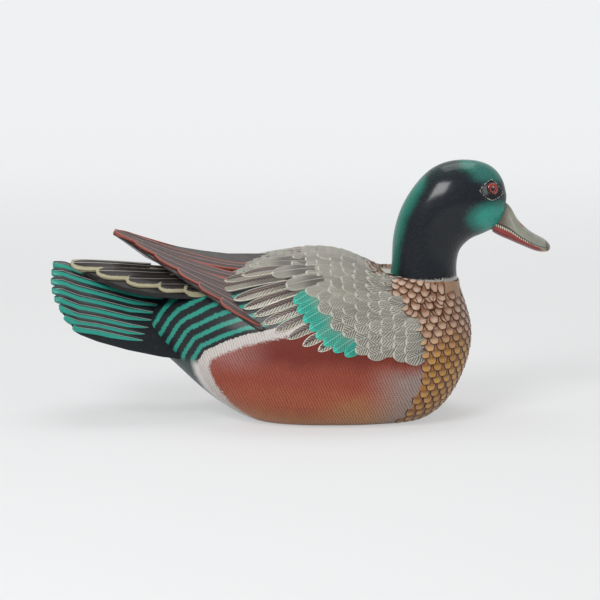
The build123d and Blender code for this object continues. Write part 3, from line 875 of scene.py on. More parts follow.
def new_group(name: str, inputs: Sequence[str], outputs: Sequence[str]) -> Tuple[Tree, Dict, object]:
    """An empty shared effect.

    Args:
        name: the group's name.
        inputs: names of its number inputs; one that starts with "at" is a vector.
        outputs: names of its number outputs.

    Returns:
        The tree's helper, its inputs by name and its output node.
    """
    tree = bpy.data.node_groups.new(name, "ShaderNodeTree")
    for label in inputs:
        kind = "NodeSocketVector" if label.startswith("at") else "NodeSocketFloat"
        tree.interface.new_socket(label, in_out="INPUT", socket_type=kind)
    for label in outputs:
        tree.interface.new_socket(label, in_out="OUTPUT", socket_type="NodeSocketFloat")
    helper = Tree(tree)
    entry, leave = helper.node("NodeGroupInput"), helper.node("NodeGroupOutput")
    return helper, {label: entry.outputs[label] for label in inputs}, leave


class Effects:
    """The effects that several finishes share, each built once."""

    def __init__(self) -> None:
        """Builds the groups."""
        self.barbs = self.make_barbs()
        self.hatch = self.make_hatch()
        self.strokes = self.make_strokes()
        self.fringe = self.make_fringe()
        self.age = self.make_age()

    @staticmethod
    def make_barbs() -> bpy.types.NodeTree:
        """Fine strokes that leave a feather's shaft at a slant.

        The stroke's phase is (along + slant * |across|) / spacing plus noise, and its mask is
        the smoothed sine of the phase.

        Returns:
            The effect.
        """
        t, got, leave = new_group("barb strokes", ["along", "across", "spacing", "slant", "tone"],
                                  ["mask", "height"])
        off = t.math("MULTIPLY", t.math("ABSOLUTE", got["across"]), got["slant"])
        run = t.math("DIVIDE", t.math("ADD", got["along"], off), got["spacing"])
        wobble = t.math("MULTIPLY", t.noise(140.0, 2.0), 1.1)
        phase = t.math("ADD", t.math("ADD", run, wobble), t.math("MULTIPLY", got["tone"], 9.0))
        wave = t.math("SINE", t.math("MULTIPLY", phase, 6.2832))
        t.put(leave.inputs["mask"], t.step(wave, -0.1, 0.75))
        t.put(leave.inputs["height"], wave)
        return t.tree

    @staticmethod
    def make_hatch() -> bpy.types.NodeTree:
        """Wavering parallel lines across a plain, broken by noise.

        The phase is the place along the lines' normal over their spacing, plus noise.

        Returns:
            The effect.
        """
        t, got, leave = new_group("fine hatching", ["at", "spacing", "waver", "breaks"], ["mask"])
        split = t.node("ShaderNodeSeparateXYZ")
        t.put(split.inputs[0], got["at"])
        waver = t.math("MULTIPLY", t.noise(55.0, 3.0, got["at"]), got["waver"])
        phase = t.math("ADD", t.math("DIVIDE", split.outputs[0], got["spacing"]), waver)
        wave = t.math("SINE", t.math("MULTIPLY", phase, 6.2832))
        broken = t.math("MULTIPLY", t.noise(420.0, 2.0, got["at"]), got["breaks"])
        t.put(leave.inputs["mask"], t.step(t.math("SUBTRACT", wave, broken), -0.2, 0.6))
        return t.tree

    @staticmethod
    def make_strokes() -> bpy.types.NodeTree:
        """Brush marks: noise drawn out along one direction of its vector.

        Returns:
            The effect.
        """
        t, got, leave = new_group("brush marks", ["at", "fineness"], ["height"])
        fine = t.node("ShaderNodeTexNoise")
        t.put(fine.inputs["Vector"], got["at"])
        t.put(fine.inputs["Scale"], got["fineness"])
        fine.inputs["Detail"].default_value = 4.0
        t.put(leave.inputs["height"], fine.outputs["Fac"])
        return t.tree

    @staticmethod
    def make_fringe() -> bpy.types.NodeTree:
        """A value made ragged by noise, so that a threshold on it looks brushed.

        Returns:
            The effect.
        """
        t, got, leave = new_group("ragged edge", ["value", "amount", "fineness"], ["value"])
        fine = t.node("ShaderNodeTexNoise")
        t.put(fine.inputs["Vector"], t.place()[0])
        t.put(fine.inputs["Scale"], got["fineness"])
        fine.inputs["Detail"].default_value = 3.0
        shift = t.math("MULTIPLY", t.math("SUBTRACT", fine.outputs["Fac"], 0.5), got["amount"])
        t.put(leave.inputs["value"], t.math("ADD", got["value"], shift))
        return t.tree

    @staticmethod
    def make_age() -> bpy.types.NodeTree:
        """Soft blotches of an old varnish, as a number near 1 that colours are dimmed by.

        Returns:
            The effect.
        """
        t, got, leave = new_group("old varnish", ["strength"], ["tint", "rough"])
        wide = t.noise(22.0, 4.0)
        fine = t.noise(160.0, 3.0)
        both = t.math("ADD", t.math("MULTIPLY", wide, 0.7), t.math("MULTIPLY", fine, 0.3))
        shift = t.math("MULTIPLY", t.math("SUBTRACT", both, 0.5), got["strength"])
        t.put(leave.inputs["tint"], t.math("ADD", 1.0, shift))
        t.put(leave.inputs["rough"], t.math("MULTIPLY", both, 0.35))
        return t.tree


class Finish:
    """One material: a tree helper, and the way every finish of the duck ends."""

    def __init__(self, name: str, effects: Effects) -> None:
        """Makes an empty material with a Principled shader.

        Args:
            name: the material's name.
            effects: the shared effects.
        """
        self.material = bpy.data.materials.new(name)
        self.material.use_nodes = True
        self.effects = effects
        self.t = Tree(self.material.node_tree)
        self.shader = self.material.node_tree.nodes["Principled BSDF"]

    def close(self, colour: object, roughness: float, height: object = None, depth: float = 0.0003,
              coat: float = 0.35, metallic: float = 0.0, ageing: float = 0.35,
              gloss: float = 0.25) -> bpy.types.Material:
        """Joins colour, ageing, roughness, bump and varnish to the shader.

        Args:
            colour: base colour.
            roughness: least roughness; old varnish adds up to 0.35 times noise to it.
            height: bump height from 0 to 1, if there is any.
            depth: depth of that bump, in metres.
            coat: how strong the varnish over the paint is.
            metallic: 1 for metals.
            ageing: how much the blotches dim and lighten the colour.
            gloss: how much the paint under the varnish reflects.

        Returns:
            The finished material.
        """
        t = self.t
        age = t.group(self.effects.age, ageing)
        dimmed = t.node("ShaderNodeMix", data_type="RGBA", blend_type="MULTIPLY")
        dimmed.inputs[0].default_value = 1.0
        t.put(dimmed.inputs[6], colour)
        grey = t.node("ShaderNodeCombineColor")
        for socket in grey.inputs[0:3]:
            t.put(socket, age["tint"])
        t.put(dimmed.inputs[7], grey.outputs[0])
        t.put(self.shader.inputs["Base Color"], dimmed.outputs[2])
        t.put(self.shader.inputs["Roughness"], t.math("ADD", roughness, age["rough"], clamp=True))
        self.shader.inputs["Coat Weight"].default_value = coat
        self.shader.inputs["Coat Roughness"].default_value = 0.18
        self.shader.inputs["Specular IOR Level"].default_value = gloss
        self.shader.inputs["Metallic"].default_value = metallic
        if height is not None:
            bump = t.node("ShaderNodeBump")
            bump.inputs["Distance"].default_value = depth
            bump.inputs["Strength"].default_value = 0.8
            t.put(bump.inputs["Height"], height)
            t.put(self.shader.inputs["Normal"], bump.outputs[0])
        return self.material


@dataclass(frozen=True)
class FeatherPaint:
    """Colours of a painted feather, as display colours, and the sizes of its marks in metres."""

    name: str
    middle: str
    outer: str
    barb: str
    edge: str
    shaft: str
    edge_width: float = 0.0006
    edge_fringe: float = 0.0009
    shaft_width: float = 0.0003
    barb_spacing: float = 0.0011
    barb_slant: float = 0.9
    barb_share: float = 0.6
    lower_only: bool = False      # the edge colour is only on the feather's lower side
    # root, root_from and root_share: colour, start and strength of the change towards a feather's
    # root. On most feathers this is painted shade where the feather above overlaps it; on the speculum
    # it is a pale grey. Random tones also lean towards this colour.
    root: str = "2c2624"
    root_from: float = 0.012      # distance from the tip where the root colour begins, painted shade on most feathers
    root_share: float = 0.5
    low: Optional[str] = None     # colour that the middle turns to low on the duck
    low_at: Tuple[float, float] = (0.03, 0.09)
    split: bool = False           # the outer colour is only on the lower side; on the secondaries the upper side's middle colour is painted shade
    tip: Optional[str] = None     # colour of the tip
    tip_reach: float = 0.0022
    roughness: float = 0.38
    coat: float = 0.3

    def make(self, effects: Effects) -> bpy.types.Material:
        """The material: middle to outer, barb strokes, shaft line, edge band, and a root colour that
        is painted shade on most feathers.

        Args:
            effects: the shared effects.

        Returns:
            The material.
        """
        finish = Finish(self.name, effects)
        t = finish.t
        along, across, span, tone = (
            t.mark(zone) for zone in (Zone.ALONG, Zone.ACROSS, Zone.SPAN, Zone.TONE)
        )
        off = t.math("ABSOLUTE", across)
        share = t.math("DIVIDE", off, t.math("MAXIMUM", span, 0.0001))
        middle = srgb(self.middle)
        if self.low is not None:
            height = t.place()[3]
            level = t.group(effects.fringe, height, 0.03, 90.0)[0]
            middle = t.mix(t.step(level, self.low_at[0], self.low_at[1]), srgb(self.low), middle)
        # Split: outer colour on the lower side only; the upper side keeps the middle colour, which on
        # the secondaries is painted shade.
        if self.split:
            share = t.math("MULTIPLY", t.math("DIVIDE", across, t.math("MAXIMUM", span, 0.0001)), -1.0)
        lowest = -0.25 if self.split else 0.1
        colour = t.mix(t.step(share, lowest, lowest + 0.7), middle, srgb(self.outer))
        colour = t.mix(t.math("MULTIPLY", tone, 0.3), colour, srgb(self.root))
        # Towards the root: painted shade where the feather above overlaps it (a pale grey on the
        # speculum).
        dark = t.math("MULTIPLY", t.step(along, self.root_from, self.root_from * 2.4), self.root_share)
        colour = t.mix(dark, colour, srgb(self.root))
        barbs = t.group(effects.barbs, along, across, self.barb_spacing, self.barb_slant, tone)
        colour = t.mix(t.math("MULTIPLY", barbs["mask"], self.barb_share), colour, srgb(self.barb))
        if self.tip is not None:
            tipped = t.group(effects.fringe, along, 0.0016, 700.0)[0]
            near = t.step(tipped, self.tip_reach * 0.6, self.tip_reach * 1.6, 0.85, 0.0)
            colour = t.mix(near, colour, srgb(self.tip))
        shaft = t.step(off, self.shaft_width, self.shaft_width * 2.2, 1.0, 0.0)
        colour = t.mix(shaft, colour, srgb(self.shaft))
        to_side = t.math("SUBTRACT", span, off)
        ragged = t.group(effects.fringe, t.math("MINIMUM", to_side, along), self.edge_fringe, 900.0)[0]
        edge = t.step(ragged, self.edge_width, self.edge_width * 1.5, 1.0, 0.0)
        if self.lower_only:
            edge = t.math("MULTIPLY", edge, t.step(across, 0.0, 0.0006, 1.0, 0.0))
        colour = t.mix(edge, colour, srgb(self.edge))
        fine = t.group(effects.strokes, t.vector(t.math("MULTIPLY", across, 4.0), along, tone), 700.0)
        height = t.math("ADD", t.math("MULTIPLY", barbs["height"], 0.35), fine[0])
        return finish.close(colour, self.roughness, height, 0.0005, self.coat, gloss=0.15)


COVERT_PAINT = FeatherPaint(
    "grey covert paint", "aeab9f", "c3c0b3", "36322d", "c3c0b4", "c0bdb1", edge_width=0.00018,
    shaft_width=0.00012, barb_spacing=0.0025, barb_share=0.9, barb_slant=1.1, root="45413b",
    root_from=0.009, root_share=0.7, tip="cfcdc0", tip_reach=0.0012,
)
MANTLE_PAINT = FeatherPaint(
    "grey mantle paint", "a19e94", "b3b0a5", "6a665f", "b5b2a8", "aaa79c", edge_width=0.0002,
    shaft_width=0.0001, barb_spacing=0.0014, barb_share=0.45, root="625e57", root_from=0.006,
    root_share=0.4,
)
SPECULUM_PAINT = FeatherPaint(
    "teal speculum paint", "1a9c89", "1fa893", "15584f", "6fcbb8", "7fd2c0", edge_width=0.0002,
    shaft_width=0.00012, barb_spacing=0.0019, barb_share=0.6, root="9a9c90", root_from=0.009,
    root_share=0.7, tip="27b79f", tip_reach=0.003,
)
# The mauve middle colour on each secondary's upper side is painted shade; the cream outer colour is
# the lower side's own paint, and the dark root colour is painted shade too.
SECONDARY_PAINT = FeatherPaint(
    "cream secondary paint", "80706a", "c4bfaf", "2f2723", "cfcabb", "3a302d", edge_width=0.0004,
    shaft_width=0.00022, barb_spacing=0.0030, barb_share=0.9, barb_slant=1.4, split=True,
    root="33292a", root_from=0.018, root_share=0.6, tip="cfcabb", tip_reach=0.002,
)
PRIMARY_PAINT = FeatherPaint(
    "brown primary paint", "2b2224", "6a4741", "141010", "8f4a3d", "8a5a50", edge_width=0.0011,
    shaft_width=0.00022, barb_spacing=0.0024, barb_share=0.75, root="241b1b", root_from=0.05,
    root_share=0.5, roughness=0.3, coat=0.5,
)
RUMP_PAINT = FeatherPaint(
    "dark covert paint", "322d2e", "5a5450", "121010", "aaa386", "b0aaa0", edge_width=0.0021,
    edge_fringe=0.0022, shaft_width=0.00014, barb_spacing=0.0019, barb_share=0.65,
    root="1c1a1a", root_from=0.02,
    root_share=0.6,
)
TAIL_PAINT = FeatherPaint(
    "teal tail paint", "1d2125", "233437", "0a0f12", "2a9080", "b9b2ac", edge_width=0.0028,
    edge_fringe=0.0022, shaft_width=0.00011, barb_spacing=0.0022, barb_share=0.6,
    lower_only=True, root="101416",
    root_from=0.06, root_share=0.45,
)
BREAST_PAINT = FeatherPaint(
    "scalloped breast paint", "cdb7a2", "c19a83", "8f5f3c", "4a2c18", "cdb7a2", edge_width=0.0008,
    shaft_width=0.00001, barb_spacing=0.0016, barb_share=0.3, root="744423", root_from=0.0028,
    root_share=0.8, low="d3a03a", low_at=(0.055, 0.085),
)


def ride_all(pieces: Dict[str, bpy.types.Object], body: str) -> None:
    """Makes pieces move with a body, and reports them.

    Args:
        pieces: the pieces by name.
        body: the body that they move with.
    """
    for name, piece in pieces.items():
        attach(piece, body)
        log.info("%s: %d faces on %s", name, len(piece.data.polygons), body)


def both_sides(shape: Shape, name: str, crease: float = 40.0) -> Dict[str, bpy.types.Object]:
    """The left shape and its mirror image, as two pieces named for their sides.

    Args:
        shape: the left shape.
        name: stem of both names.
        crease: angle kept sharp, in degrees.

    Returns:
        The left and the right piece by name.
    """
    return {
        f"{name}_left": shape.build(f"{name}_left", crease),
        f"{name}_right": shape.mirrored().build(f"{name}_right", crease),
    }


def dress(pieces: Dict[str, bpy.types.Object], material: bpy.types.Material) -> None:
    """Gives every piece one material."""
    for piece in pieces.values():
        piece.data.materials.append(material)


# ------------------------------------------------------------------ the painted coat of the body
@dataclass
class BodyCoat:
    """The paint coat that covers the carved body above its flat bottom."""

    stand_off: float = 1.6
    thickness: float = 2.4
    rows: int = 250
    cols: int = 84
    bottom: float = 0.35
    band_line: Tuple[Tuple[float, float], ...] = (
        (-30, -6), (-43, 2), (-58, 14), (-72, 29), (-79, 42), (-81, 52), (-75, 62), (-58, 71),
        (-42, 77), (-22, 82), (40, 96), (160, 124),
    )
    breast_line: Tuple[Tuple[float, float], ...] = (
        (20, 150), (50, 124), (62, 111), (78, 102), (89, 92), (95, 78), (99, 64), (97, 42),
        (92, 28), (85.4, 10), (75.6, 0), (72, -8),
    )

    def surface(self) -> Back:
        """The surface that the coat's outside lies on."""
        return Back(self.stand_off)

    def build(self) -> Dict[str, bpy.types.Object]:
        """A slab of the surface from just above the bottom, over the back, to the bottom again.

        Each section starts at the angle where its height is least but not below the bottom, so
        the rows follow the bottom's edge, and the neck's seat is levelled off.

        Returns:
            The coat by name.
        """
        surface = self.surface()
        u = np.linspace(0.0, 0.999, self.rows)
        low, high = np.full(u.shape, -1.5708), np.full(u.shape, 0.2)
        for _ in range(24):
            middle = (low + high) / 2.0
            below = surface.point(u, middle)[:, 2] < self.bottom
            low, high = np.where(below, middle, low), np.where(below, high, middle)
        share = np.linspace(0.0, 1.0, self.cols)
        v = low[:, None] + (math.pi / 2.0 - low[:, None]) * share[None, :]
        v = np.concatenate([v, (math.pi - v)[:, -2::-1]], axis=1)
        us = np.broadcast_to(u[:, None], v.shape)
        outer = surface.point(us, v)
        inner = Back(self.stand_off - self.thickness, 1.2).point(us, v)
        outer[..., 2] = np.maximum(outer[..., 2], self.bottom)
        inner[..., 2] = np.maximum(inner[..., 2], self.bottom)
        points = np.concatenate([outer.reshape(-1, 3), inner.reshape(-1, 3)])
        flat = side_view(outer).reshape(-1, 2)
        flank = line_distance(flat, self.band_line)
        breast = -line_distance(flat, self.breast_line)
        side = np.abs(outer[..., 1]).ravel()
        cover = smooth(20.0, 26.0, side)
        marks = {
            Zone.FLANK.value: np.tile(flank, 2) * MM,
            Zone.BREAST.value: np.tile(breast, 2) * MM,
            Zone.COVER.value: np.tile(cover, 2),
        }
        rows, cols = v.shape
        shape = Shape(points, slab_quads(rows, cols), marks).outward()
        return {"body_coat": shape.build("body_coat", 60.0)}

    def paint(self, effects: Effects) -> bpy.types.Material:
        """Chestnut flank with hatching, a pale ragged band, and a dark rump with teal arcs.

        Args:
            effects: the shared effects.

        Returns:
            The material.
        """
        finish = Finish("body paint", effects)
        t = finish.t
        vector, x, y, z = t.place()
        flank = t.group(effects.fringe, t.mark(Zone.FLANK), 0.0030, 700.0)[0]
        breast = t.group(effects.fringe, t.mark(Zone.BREAST), 0.003, 300.0)[0]
        level = t.group(effects.fringe, z, 0.02, 45.0)[0]
        colour = t.mix(t.step(level, 0.0, 0.022), srgb("b4763f"), srgb("a8583a"))
        colour = t.mix(t.step(level, 0.02, 0.045), colour, srgb("96432f"))
        colour = t.mix(t.step(level, 0.044, 0.062), colour, srgb("74281b"))
        rosy = t.math("MULTIPLY", t.step(x, -0.015, -0.055, 0.0, 0.8), t.step(level, 0.04, 0.06))
        colour = t.mix(rosy, colour, srgb("a9716a"))
        tan = t.math("MULTIPLY", t.step(x, -0.005, 0.055), t.step(level, 0.034, 0.010))
        colour = t.mix(t.math("MULTIPLY", tan, 0.7), colour, srgb("b98a5c"))
        front = t.math("MULTIPLY", t.step(x, 0.045, 0.090), t.step(level, 0.058, 0.036))
        colour = t.mix(t.math("MULTIPLY", front, 0.85), colour, srgb("9a928c"))
        slanted = t.vector(
            t.math("ADD", t.math("MULTIPLY", x, 0.92), t.math("MULTIPLY", z, 0.40)), y, z)
        lines = t.group(effects.hatch, slanted, 0.0021, 2.2, 0.9)[0]
        cross = t.group(effects.hatch, t.vector(z, x, y), 0.0017, 2.4, 1.2)[0]
        hatching = t.math("MAXIMUM", lines, t.math("MULTIPLY", cross, 0.6))
        colour = t.mix(t.math("MULTIPLY", hatching, 0.62), colour, srgb("4a2018"))
        wide = t.math("ADD", flank, t.step(z, 0.048, 0.010, 0.0, 0.0042))
        streaks = t.group(effects.strokes, t.vector(x, y, t.math("MULTIPLY", z, 2.2)), 330.0)[0]
        wide = t.math("ADD", wide, t.math("MULTIPLY", t.math("SUBTRACT", streaks, 0.5), 0.006))
        band = t.step(wide, 0.0070, 0.0100, 0.92, 0.0)
        pale = t.mix(t.math("MULTIPLY", lines, 0.5), srgb("cbc6c1"), srgb("86817d"))
        colour = t.mix(band, colour, pale)
        outside = t.math("MULTIPLY", flank, -1.0)
        repeat = t.math("FRACT", t.math("DIVIDE", t.math("SUBTRACT", outside, 0.0022), 0.0078))
        arc = t.math("MULTIPLY", t.step(repeat, 0.0, 0.08), t.step(repeat, 0.36, 0.5, 1.0, 0.0))
        arc = t.math("MULTIPLY", arc, t.step(outside, 0.0022, 0.0026))
        arc = t.math("MULTIPLY", arc, t.step(z, 0.047, 0.055))
        rump = t.mix(arc, srgb("181c20"), srgb("2a8f7e"))
        under = t.mix(t.step(outside, 0.002, 0.007), srgb("d0ccc8"), srgb("3c4a48"))
        rump = t.mix(t.step(z, 0.047, 0.055), under, rump)
        colour = t.mix(t.step(flank, 0.0, 0.0006, 1.0, 0.0), colour, rump)
        chest = t.mix(t.step(level, 0.05, 0.09), srgb("a9702f"), srgb("a08066"))
        colour = t.mix(t.step(breast, 0.0, 0.0008), colour, chest)
        middle = t.math("SUBTRACT", 1.0, t.mark(Zone.COVER))
        behind = t.math("MULTIPLY", middle, t.step(x, 0.088, 0.080))
        colour = t.mix(t.math("MULTIPLY", behind, t.step(z, 0.1, 0.104)), colour, srgb("8d8a80"))
        height = t.math("ADD", hatching, t.group(effects.strokes, vector, 500.0)[0])
        return finish.close(colour, 0.38, height, 0.00025, 0.25)


# ------------------------------------------------------------------ feathers of the body
@dataclass
class BreastScales:
    """Low scallops that point down the breast."""

    step: Tuple[float, float] = (6.4, 5.2)       # round the breast and down it
    length: float = 12.0
    half_width: float = 4.9

    def build(self, coat: BodyCoat) -> Dict[str, bpy.types.Object]:
        """Scallops at staggered places in front of the breast line, on both sides.

        Args:
            coat: the coat that they lie on.

        Returns:
            The left and the right piece by name.
        """
        surface = coat.surface()
        places = lattice((5.4, 0.0), (124.0, 178.0), self.step[::-1])[:, ::-1]
        params = surface.seek(breast_view, places, -1.56, 1.56)
        points = surface.point(params[:, 0], params[:, 1])
        miss = np.linalg.norm(breast_view(points) - places, axis=1)
        in_front = -line_distance(side_view(points), coat.breast_line) > -1.5
        keep = (miss < 6.0) & in_front & (points[:, 2] > 7.0) & (points[:, 1] > -1.0)
        keep &= (np.hypot(points[:, 0] - NECK_X, points[:, 1]) > NECK_RADIUS + 2.0) | (miss < 1.0)
        keep &= points[:, 2] < 109.65
        roots = params[keep]
        down = places[keep] - np.array([0.0, self.length])
        down[:, 1] = np.maximum(down[:, 1], 1.5)
        tips = surface.seek(breast_view, down, -1.56, 1.56)
        form = FeatherForm(
            rows=9, cols=9, tip_share=0.36, tip_power=2.0, root_share=0.96, root_lift=-0.7,
            tip_lift=0.7, camber=0.1, depth=1.3,
        )
        shape = lay_feathers(surface, roots, tips, self.half_width, form, 11)
        collar = self.collar(surface, coat, form)
        return both_sides(Shape.joined([shape, collar]), "breast_scales")

    def collar(self, surface: Back, coat: BodyCoat, form: FeatherForm) -> Shape:
        """Scallops that point outwards on the level ground round the neck.

        Args:
            surface: the hollowed back.
            coat: gives the breast line.
            form: the scallops' form.

        Returns:
            The scallops of one side.
        """
        places = lattice((NECK_RADIUS + 1.2, -4.0), (62.0, 190.0), (4.6, 7.2))[:, ::-1]
        params = surface.seek(neck_view, places, -0.4, 1.56)
        points = surface.point(params[:, 0], params[:, 1])
        miss = np.linalg.norm(neck_view(points) - places, axis=1)
        keep = (miss < 1.6) & (points[:, 2] > 99.0) & (points[:, 0] > 62.0)
        keep &= -line_distance(side_view(points), coat.breast_line) > -3.0
        ends = places[keep] + np.array([0.0, 9.5])
        tips = surface.seek(neck_view, ends, -0.4, 1.56)
        return lay_feathers(surface, params[keep], tips, 4.4, form, 12)


@dataclass
class Wing:
    """One folded wing of overlapping feathers, laid on a surface just outside the body."""

    grow: float = 2.3
    covert_step: Tuple[float, float] = (9.6, 8.2)
    covert_length: float = 21.0
    covert_outline: Tuple[Tuple[float, float], ...] = (
        (4, 105), (13, 97), (20, 86), (30, 75), (41, 65), (50, 58), (80, 56), (102, 62),
        (106, 77), (100, 95), (88, 107), (73, 117), (66, 124), (60, 150), (-14, 150), (-12, 120),
        (-4, 112),
    )
    inner_y: float = 20.0
    speculum: Tuple[Tuple[float, float], ...] = (
        (-5, 101), (-2, 94.5), (2.5, 88), (7.5, 82), (12.5, 76), (18.5, 70.5), (26, 65.5), (35, 62),
    )
    secondaries: Tuple[Tuple[float, float, float, float, float], ...] = (
        (-46, 117.0, 44, 5.0, 10), (-60, 112.5, 52, 5.6, 12), (-68, 106.5, 58, 5.8, 13),
        (-52, 101.0, 52, 4.6, 17), (-44, 95.5, 50, 4.4, 19), (-36, 90.5, 48, 4.2, 21),
        (-29, 85.0, 46, 4.2, 22), (-20, 80.0, 42, 4.0, 23), (-10, 75.0, 38, 4.0, 24),
        (2, 70.0, 32, 4.0, 24), (14, 66.0, 26, 3.8, 24),
    )                                # tip x, tip z, length, half-width, slope in degrees
    scapulars: Tuple[Tuple[float, float, float, float, float], ...] = (
        (-11, 112.0, 30, 6.5, 12), (-22, 119.5, 34, 6.5, 9), (-34, 124.5, 40, 6.0, 6),
        (-40, 129.0, 44, 5.5, 4),
    )

    def surface(self) -> Back:
        """The surface that the feathers lie on."""
        return Back(self.grow)

    def coverts(self) -> Shape:
        """Small overlapping feathers that cover the front of the wing.

        Returns:
            The coverts of one side.
        """
        surface = self.surface()
        places = lattice((-14.0, -6.0), (112.0, 104.0), self.covert_step)
        places = places + np.random.default_rng(2).uniform(-1.0, 1.0, places.shape)
        params = surface.seek(wrap_view, places, -1.2, 1.45)
        points = surface.point(params[:, 0], params[:, 1])
        slope = math.radians(24.0) * smooth(126.0, 80.0, points[:, 2])
        way = np.stack([-np.cos(slope), -np.sin(slope)], axis=1) * self.covert_length
        ends = surface.seek(wrap_view, places + way, -1.3, 1.45)
        reached = surface.point(ends[:, 0], ends[:, 1])
        keep = inside(side_view(points), self.covert_outline) & (points[:, 1] > self.inner_y)
        keep &= inside(side_view(reached), self.covert_outline)
        form = FeatherForm(
            rows=14, cols=9, tip_share=0.42, tip_power=1.8, root_share=0.8, root_lift=-1.5,
            tip_lift=0.7, camber=0.35, depth=2.6,
        )
        random = np.random.default_rng(4)
        wide = 6.2 + random.uniform(-0.7, 0.7, int(keep.sum()))
        raised = random.uniform(-0.2, 0.25, int(keep.sum()))
        return lay_feathers(surface, params[keep], ends[keep], wide, form, 3, raised)

    def listed(self, rows: Sequence[Sequence[float]], form: FeatherForm, seed: int,
               raised: Array) -> Shape:
        """Feathers given by tip, length, half-width and slope, in the side view.

        Args:
            rows: one row for each feather.
            form: their form.
            seed: start of their random draws.
            raised: how far each one is lifted.

        Returns:
            The feathers of one side.
        """
        surface = self.surface()
        table = np.array(rows, dtype=float)
        slope = np.radians(table[:, 4])
        tips = table[:, 0:2]
        roots = tips + table[:, 2:3] * np.stack([np.cos(slope), np.sin(slope)], axis=1)
        return lay_feathers(
            surface, surface.seek(side_view, roots, -1.0, 1.25),
            surface.seek(side_view, tips, -1.0, 1.25), table[:, 3], form, seed, raised,
        )

    def build_coverts(self) -> Dict[str, bpy.types.Object]:
        """The grey feathers of both wings.

        Returns:
            The left and the right piece by name.
        """
        scapular_form = FeatherForm(rows=14, cols=9, tip_share=0.3, root_share=0.8,
                                    root_lift=-0.4, tip_lift=1.2, camber=0.6, depth=3.4)
        raised = np.linspace(0.5, 0.0, len(self.scapulars))
        large = self.listed(self.scapulars, scapular_form, 5, raised)
        return both_sides(Shape.joined([self.coverts(), large]), "wing_coverts")

    def build_speculum(self) -> Dict[str, bpy.types.Object]:
        """The teal feathers of both wings, under the coverts' rear edge.

        Returns:
            The left and the right piece by name.
        """
        rows = [(x, z, 24.0, 5.0, 30.0) for x, z in self.speculum]
        form = FeatherForm(rows=12, cols=7, tip_share=0.4, root_share=0.8, root_lift=-1.2,
                           tip_lift=0.7, camber=0.4, depth=3.2)
        raised = np.linspace(0.25, 0.0, len(rows))
        return both_sides(self.listed(rows, form, 6, raised), "wing_speculum")

    def build_secondaries(self) -> Dict[str, bpy.types.Object]:
        """The long cream feathers of both wings, each laid over the next lower one.

        Returns:
            The left and the right piece by name.
        """
        form = FeatherForm(rows=24, cols=9, tip_share=0.3, tip_power=1.7, root_share=0.85,
                           root_lift=-1.4, tip_lift=0.3, camber=0.45, depth=4.2, bend=0.8)
        raised = np.linspace(1.0, -0.3, len(self.secondaries))
        return both_sides(self.listed(self.secondaries, form, 7, raised), "wing_secondaries")


@dataclass
class Mantle:
    """The fine smooth feathers of the back, between the wings."""

    step: Tuple[float, float] = (6.4, 5.8)
    length: float = 11.5

    def build(self) -> Dict[str, bpy.types.Object]:
        """Low feathers on the back, from behind the neck to the rump.

        Returns:
            The left and the right piece by name.
        """
        surface = Back(1.7)
        places = lattice((-52.0, 119.3 - 6 * self.step[1]), (84.0, 120.0), self.step)
        params = surface.seek(wrap_view, places, 0.6, 1.5707)
        points = surface.point(params[:, 0], params[:, 1])
        keep = (points[:, 1] < 27.0) & (points[:, 2] > 100.0)
        keep &= np.hypot(points[:, 0] - NECK_X, points[:, 1]) > NECK_RADIUS + 0.5
        tips = surface.seek(wrap_view, places[keep] - np.array([self.length, 0.0]), 0.6, 1.5707)
        form = FeatherForm(rows=7, cols=5, tip_share=0.5, root_share=0.85, root_lift=-0.9,
                           tip_lift=0.35, camber=0.2, depth=1.4)
        shape = lay_feathers(surface, params[keep], tips, 4.0, form, 8)
        return both_sides(shape, "mantle")


class Vane(Surface):
    """The ruled top of one folded wing tip: a line from its ridge to its lower edge."""

    steps = (0.2, 0.002)

    def __init__(self, table: Sequence[Sequence[float]], gap: float) -> None:
        """Keeps x, ridge, edge y, edge z and underside of each station, and the middle gap."""
        self.rows = np.array(sorted(table))
        self.gap = gap

    def column(self, x: Array, index: int) -> Array:
        """One size of the stations, straight between them."""
        return np.interp(x, self.rows[:, 0], self.rows[:, index])

    def point(self, u: Array, v: Array) -> Array:
        """At x = u, the share v of the way from the ridge to the edge, slightly crowned.

        Args:
            u: x along the duck.
            v: share of the way to the edge.

        Returns:
            Points in millimetres.
        """
        u, v = np.broadcast_arrays(np.asarray(u, float), np.asarray(v, float))
        edge_y = self.column(u, 2)
        y = self.gap + (edge_y - self.gap) * v
        drop = self.column(u, 1) - self.column(u, 3)
        z = self.column(u, 1) - drop * v + 0.05 * edge_y * np.clip(v * (1.0 - v), 0.0, 0.25)
        return np.stack([u, y, z], axis=-1)


